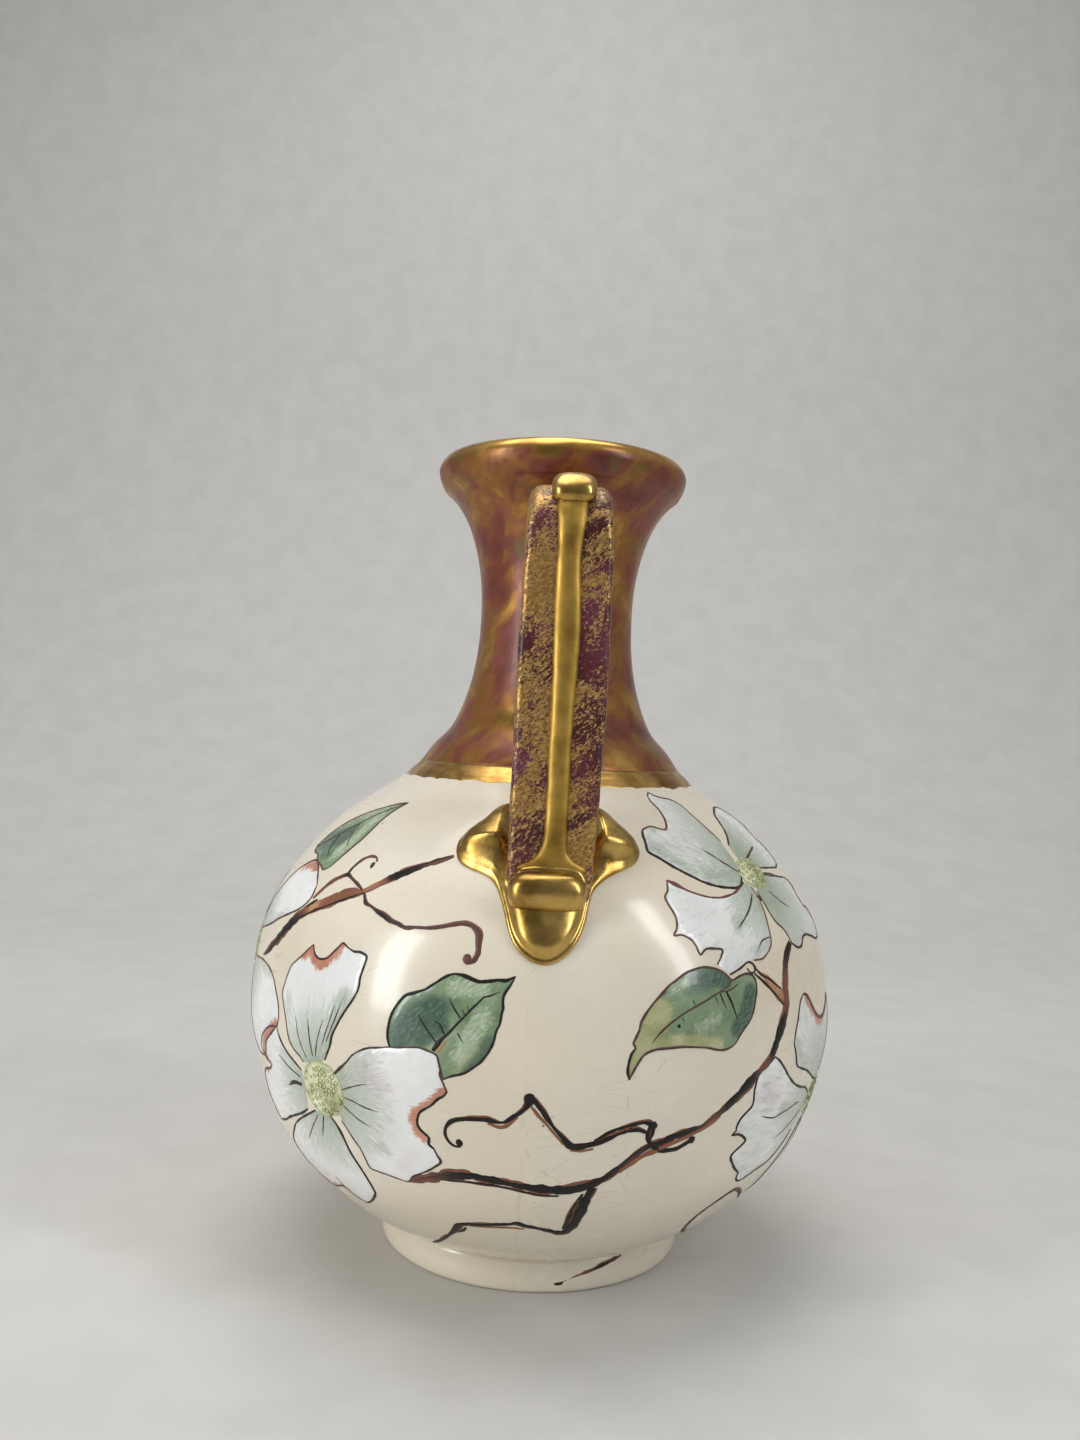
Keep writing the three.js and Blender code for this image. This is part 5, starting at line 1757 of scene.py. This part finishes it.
def draw_centre(name, hub, half_width, half_height, seed):
    """A bloom's raised yellow-green centre and its ringlets."""
    middle = flat_of([hub])[0]
    ring = middle + uneven_ring(64, 0.07, 3, seed) * (half_width, half_height)
    # Painted shadow: the pad turns darker olive down and to the right of its middle, and within a millimetre
    # of its rim.
    shadow = middle + np.array([half_width * 0.55, -half_height * 0.5])

    def lift(_, edge):
        return 0.13 + 0.14 * unit(edge / half_width)

    def shade(flat):
        near = unit(1 - np.linalg.norm(flat - shadow, axis=1) / (half_width * 0.9))
        return unit(np.maximum(near * 0.8, 0.75 * (1 - distance_to(flat, ring, True))))

    clay = Clay()
    lay_patch(clay, ring, 0.7, on_body, lift, seed, insets=(0.2,), shade=shade)
    clay_piece(name, clay, CENTRE, "painted_enamel")

    def ringlet_lift(flat, edge):
        return lift(flat, edge) + 0.02

    crown = middle + (ring - middle) * 0.86
    _, _, places, faces = upper_skin(crown, 0.9, on_body, ringlet_lift, seed, (0.22,), -0.2)
    values = {"Spacing": 0.9 * MM, "Ring radius": 0.52 * MM, "Line radius": 0.11 * MM}
    values |= {"Seed": seed, "Finish": RINGLET}
    mesh = RINGLETS.shaped(name + "_ringlets", (places * MM).tolist(), [], faces, values)
    mesh.polygons.foreach_set("use_smooth", np.ones(len(mesh.polygons), bool))
    piece_of(name + "_ringlets", mesh, RINGLET, "painted_enamel")


def new_art():
    return {"petals": Clay(), "leaves": Clay(), "lines": Clay()}


def show(name, art):
    """Makes a piece of each enamel that a group of motifs has."""
    enamels = {"petals": PETAL, "leaves": LEAF, "lines": INK}
    for kind, clay in art.items():
        if clay.count:
            clay_piece(f"{name}_{kind}", clay, enamels[kind], "painted_enamel")


def draw_bloom(art, bloom, hub, seed, motion=None, only=None):
    """A bloom's petals, or one of them by its place in the bloom, each with its strokes."""
    for level, (fill, strokes) in enumerate(bloom):
        if only in (None, level):
            draw_petal(art["petals"], hub=hub, level=level, seed=seed + level, motion=motion, **fill)
            draw_strokes(art["lines"], strokes, motion=motion)


def make_bloom(name, bloom, hub, seed, centre, motion=None, borrowed=()):
    """A bloom and its centre; borrowed petals of the left bloom lie under its own."""
    art = new_art()
    for part, turn, mirrored, scale in borrowed:
        move = motion_to(LEFT_HUB, hub, turn, mirrored, scale)
        draw_bloom(art, LEFT_BLOOM, LEFT_HUB, seed + 4, move, part)
    draw_bloom(art, bloom, hub, seed, motion)
    show(name, art)
    draw_centre(name + "_centre", *centre)


def make_leaves(name, leaves, dots=()):
    art = new_art()
    for (fill, strokes), seed, motion in leaves:
        draw_leaf(art["leaves"], seed=seed, motion=motion, **fill)
        draw_strokes(art["lines"], strokes, motion=motion)
    for dot in dots:
        draw_dot(art["lines"], *dot)
    show(name, art)


def make_branches():
    art = new_art()
    draw_strokes(art["lines"], BRANCH_STROKES, weight=1.3, fringe=True)
    for dot in BRANCH_DOTS:
        draw_dot(art["lines"], *dot)
    show("branch", art)


def make_front():
    """The front as drawn."""
    low, top, right = 1, 2, 3  # places in LEFT_BLOOM
    make_bloom("left_bloom", LEFT_BLOOM, LEFT_HUB, 10, (LEFT_HUB, 5.3 * DEGREE, 6.2, 3))
    make_bloom("right_bloom", RIGHT_BLOOM, RIGHT_HUB, 20, (RIGHT_HUB, 5.4 * DEGREE, 3.4, 5))
    borrowed = [(low, -12, True, 0.9), (top, 196, False, 0.95)]
    make_bloom("edge_bloom", EDGE_BLOOM, EDGE_HUB, 30, (EDGE_HUB, 5.3, 5.2, 7), borrowed=borrowed)
    borrowed = [(right, 172, False, 0.92), (top, 92, False, 0.92)]
    make_bloom("far_bloom", FAR_BLOOM, FAR_HUB, 40, (FAR_HUB, 5.4, 5.2, 9), borrowed=borrowed)
    leaves = [(FIRST_LEAF, 50, None), (SECOND_LEAF, 60, None), (THIRD_LEAF, 70, None)]
    make_leaves("front", leaves, LEAF_DOTS)
    make_branches()


def make_back():
    """Behind, the same motifs turned and set out afresh."""
    back_hub, side_hub = (176, 62), (228, 84)
    place = motion_to(LEFT_HUB, back_hub, 24)
    make_bloom("back_bloom", LEFT_BLOOM, LEFT_HUB, 80, (back_hub, 6.2, 6.0, 11), place)
    place = motion_to(LEFT_HUB, side_hub, -38, True, 0.82)
    make_bloom("side_bloom", LEFT_BLOOM, LEFT_HUB, 90, (side_hub, 5.3, 5.0, 13), place)
    first_middle, third_middle = (-16, 68), (-59, 102)
    leaves = [
        (FIRST_LEAF, 100, motion_to(first_middle, (133, 74), 18, True)),
        (FIRST_LEAF, 110, motion_to(first_middle, (207, 40), -30)),
        (THIRD_LEAF, 120, motion_to(third_middle, (196, 96), -150, True)),
        (FIRST_LEAF, 130, motion_to(first_middle, (254, 52), 70, False, 0.9)),
    ]
    make_leaves("back", leaves)
    art = new_art()
    draw_strokes(art["lines"], BACK_STROKES)
    show("back_branch", art)


# ----------------------------------------------------------------------------- stage and camera


def make_stage():
    """A pale floor that turns up into a wall behind."""
    f = Finish("pale_paper", specular=0.3)
    grain = f.noise(f.place(), 40, 4)
    f.colour(f.ramp(grain, (0.3, srgb(206, 204, 200)), (0.7, srgb(212, 210, 206))))
    f.sheen(grain, 0.55, 0.62)
    width, front, back, height, turn = 2400, -1500, 900, 1700, 500
    chain = [(front, 0.0), (back - turn, 0.0)]
    for a in np.linspace(0.05, math.pi / 2, 24):
        chain.append((back - turn + turn * math.sin(a), turn - turn * math.cos(a)))
    chain.append((back, height))
    verts = [(x, y, z) for y, z in chain for x in (-width, width)]
    clay = Clay()
    clay.add(verts, [(i, i + 1, i + 3, i + 2) for i in range(0, len(verts) - 2, 2)])
    floor = in_scene("floor", clay.mesh("floor"))
    floor.data.materials.append(f.material)


def add_light(name, place, size, power, colour):
    light = bpy.data.lights.new(name, "AREA")
    light.shape = "RECTANGLE"
    light.size, light.size_y = size
    light.energy = power
    light.color = colour
    lamp = in_scene(name, light)
    lamp.location = place
    aim = Vector((0, 0, RIM_TOP * MM / 2)) - Vector(place)
    lamp.rotation_euler = aim.to_track_quat("-Z", "Y").to_euler()


def make_lights():
    add_light("window", (-0.8, -0.5, 0.35), (0.2, 0.66), 4.2, (0.95, 0.98, 1.0))
    add_light("side", (0.74, -0.5, 0.66), (0.13, 0.9), 3.4, (0.94, 0.97, 1.0))
    add_light("overhead", (-0.1, 0.1, 1.2), (1.0, 0.7), 7.0, (1.0, 0.98, 0.95))
    # The room is lighter behind the vase and overhead than on the side that it is seen from.
    world = bpy.data.worlds.new("room")
    bpy.context.scene.world = world
    world.use_nodes = True
    room = Nodes(world.node_tree)
    way = room.node("ShaderNodeTexCoord").outputs["Generated"]
    depth = room.node("ShaderNodeSeparateXYZ", {0: way}).outputs["Y"]
    ranges = {"From Min": -0.9, "From Max": 0.6, "To Min": 0.2, "To Max": 0.5}
    fade = room.node("ShaderNodeMapRange", ranges | {"Value": depth}).outputs[0]
    sky = world.node_tree.nodes["Background"].inputs
    room.put(fade, sky["Strength"])
    room.put((0.86, 0.88, 0.9, 1), sky["Color"])


def make_camera():
    """Level with the handle's bend, close in front of the handle and tipped a little."""
    pitch, yaw, roll = 0.0116, 0.00833, 0.0456
    stand = (-0.00565, -0.30846, 0.12877)
    level = math.cos(pitch)
    forward = Vector((math.sin(yaw) * level, math.cos(yaw) * level, math.sin(pitch)))
    right = Vector((math.cos(yaw), -math.sin(yaw), 0))
    up = right.cross(forward)
    tipped_right = math.cos(roll) * right + math.sin(roll) * up
    tipped_up = -math.sin(roll) * right + math.cos(roll) * up
    camera = bpy.data.cameras.new("camera")
    camera.sensor_width = 36
    camera.lens = 29.26
    camera.clip_start = 0.01
    holder = in_scene("camera", camera)
    turn = Matrix((tipped_right, tipped_up, -forward)).transposed()
    holder.matrix_world = Matrix.Translation(stand) @ turn.to_4x4()
    bpy.context.scene.camera = holder


make_camera()
make_foot()
make_body()
make_neck()
make_lip()
make_band()
make_strap()
make_rib()
make_boss()
make_bolster()
make_mount()
make_front()
make_back()
make_stage()
make_lights()
bpy.context.scene.view_settings.view_transform = "Standard"
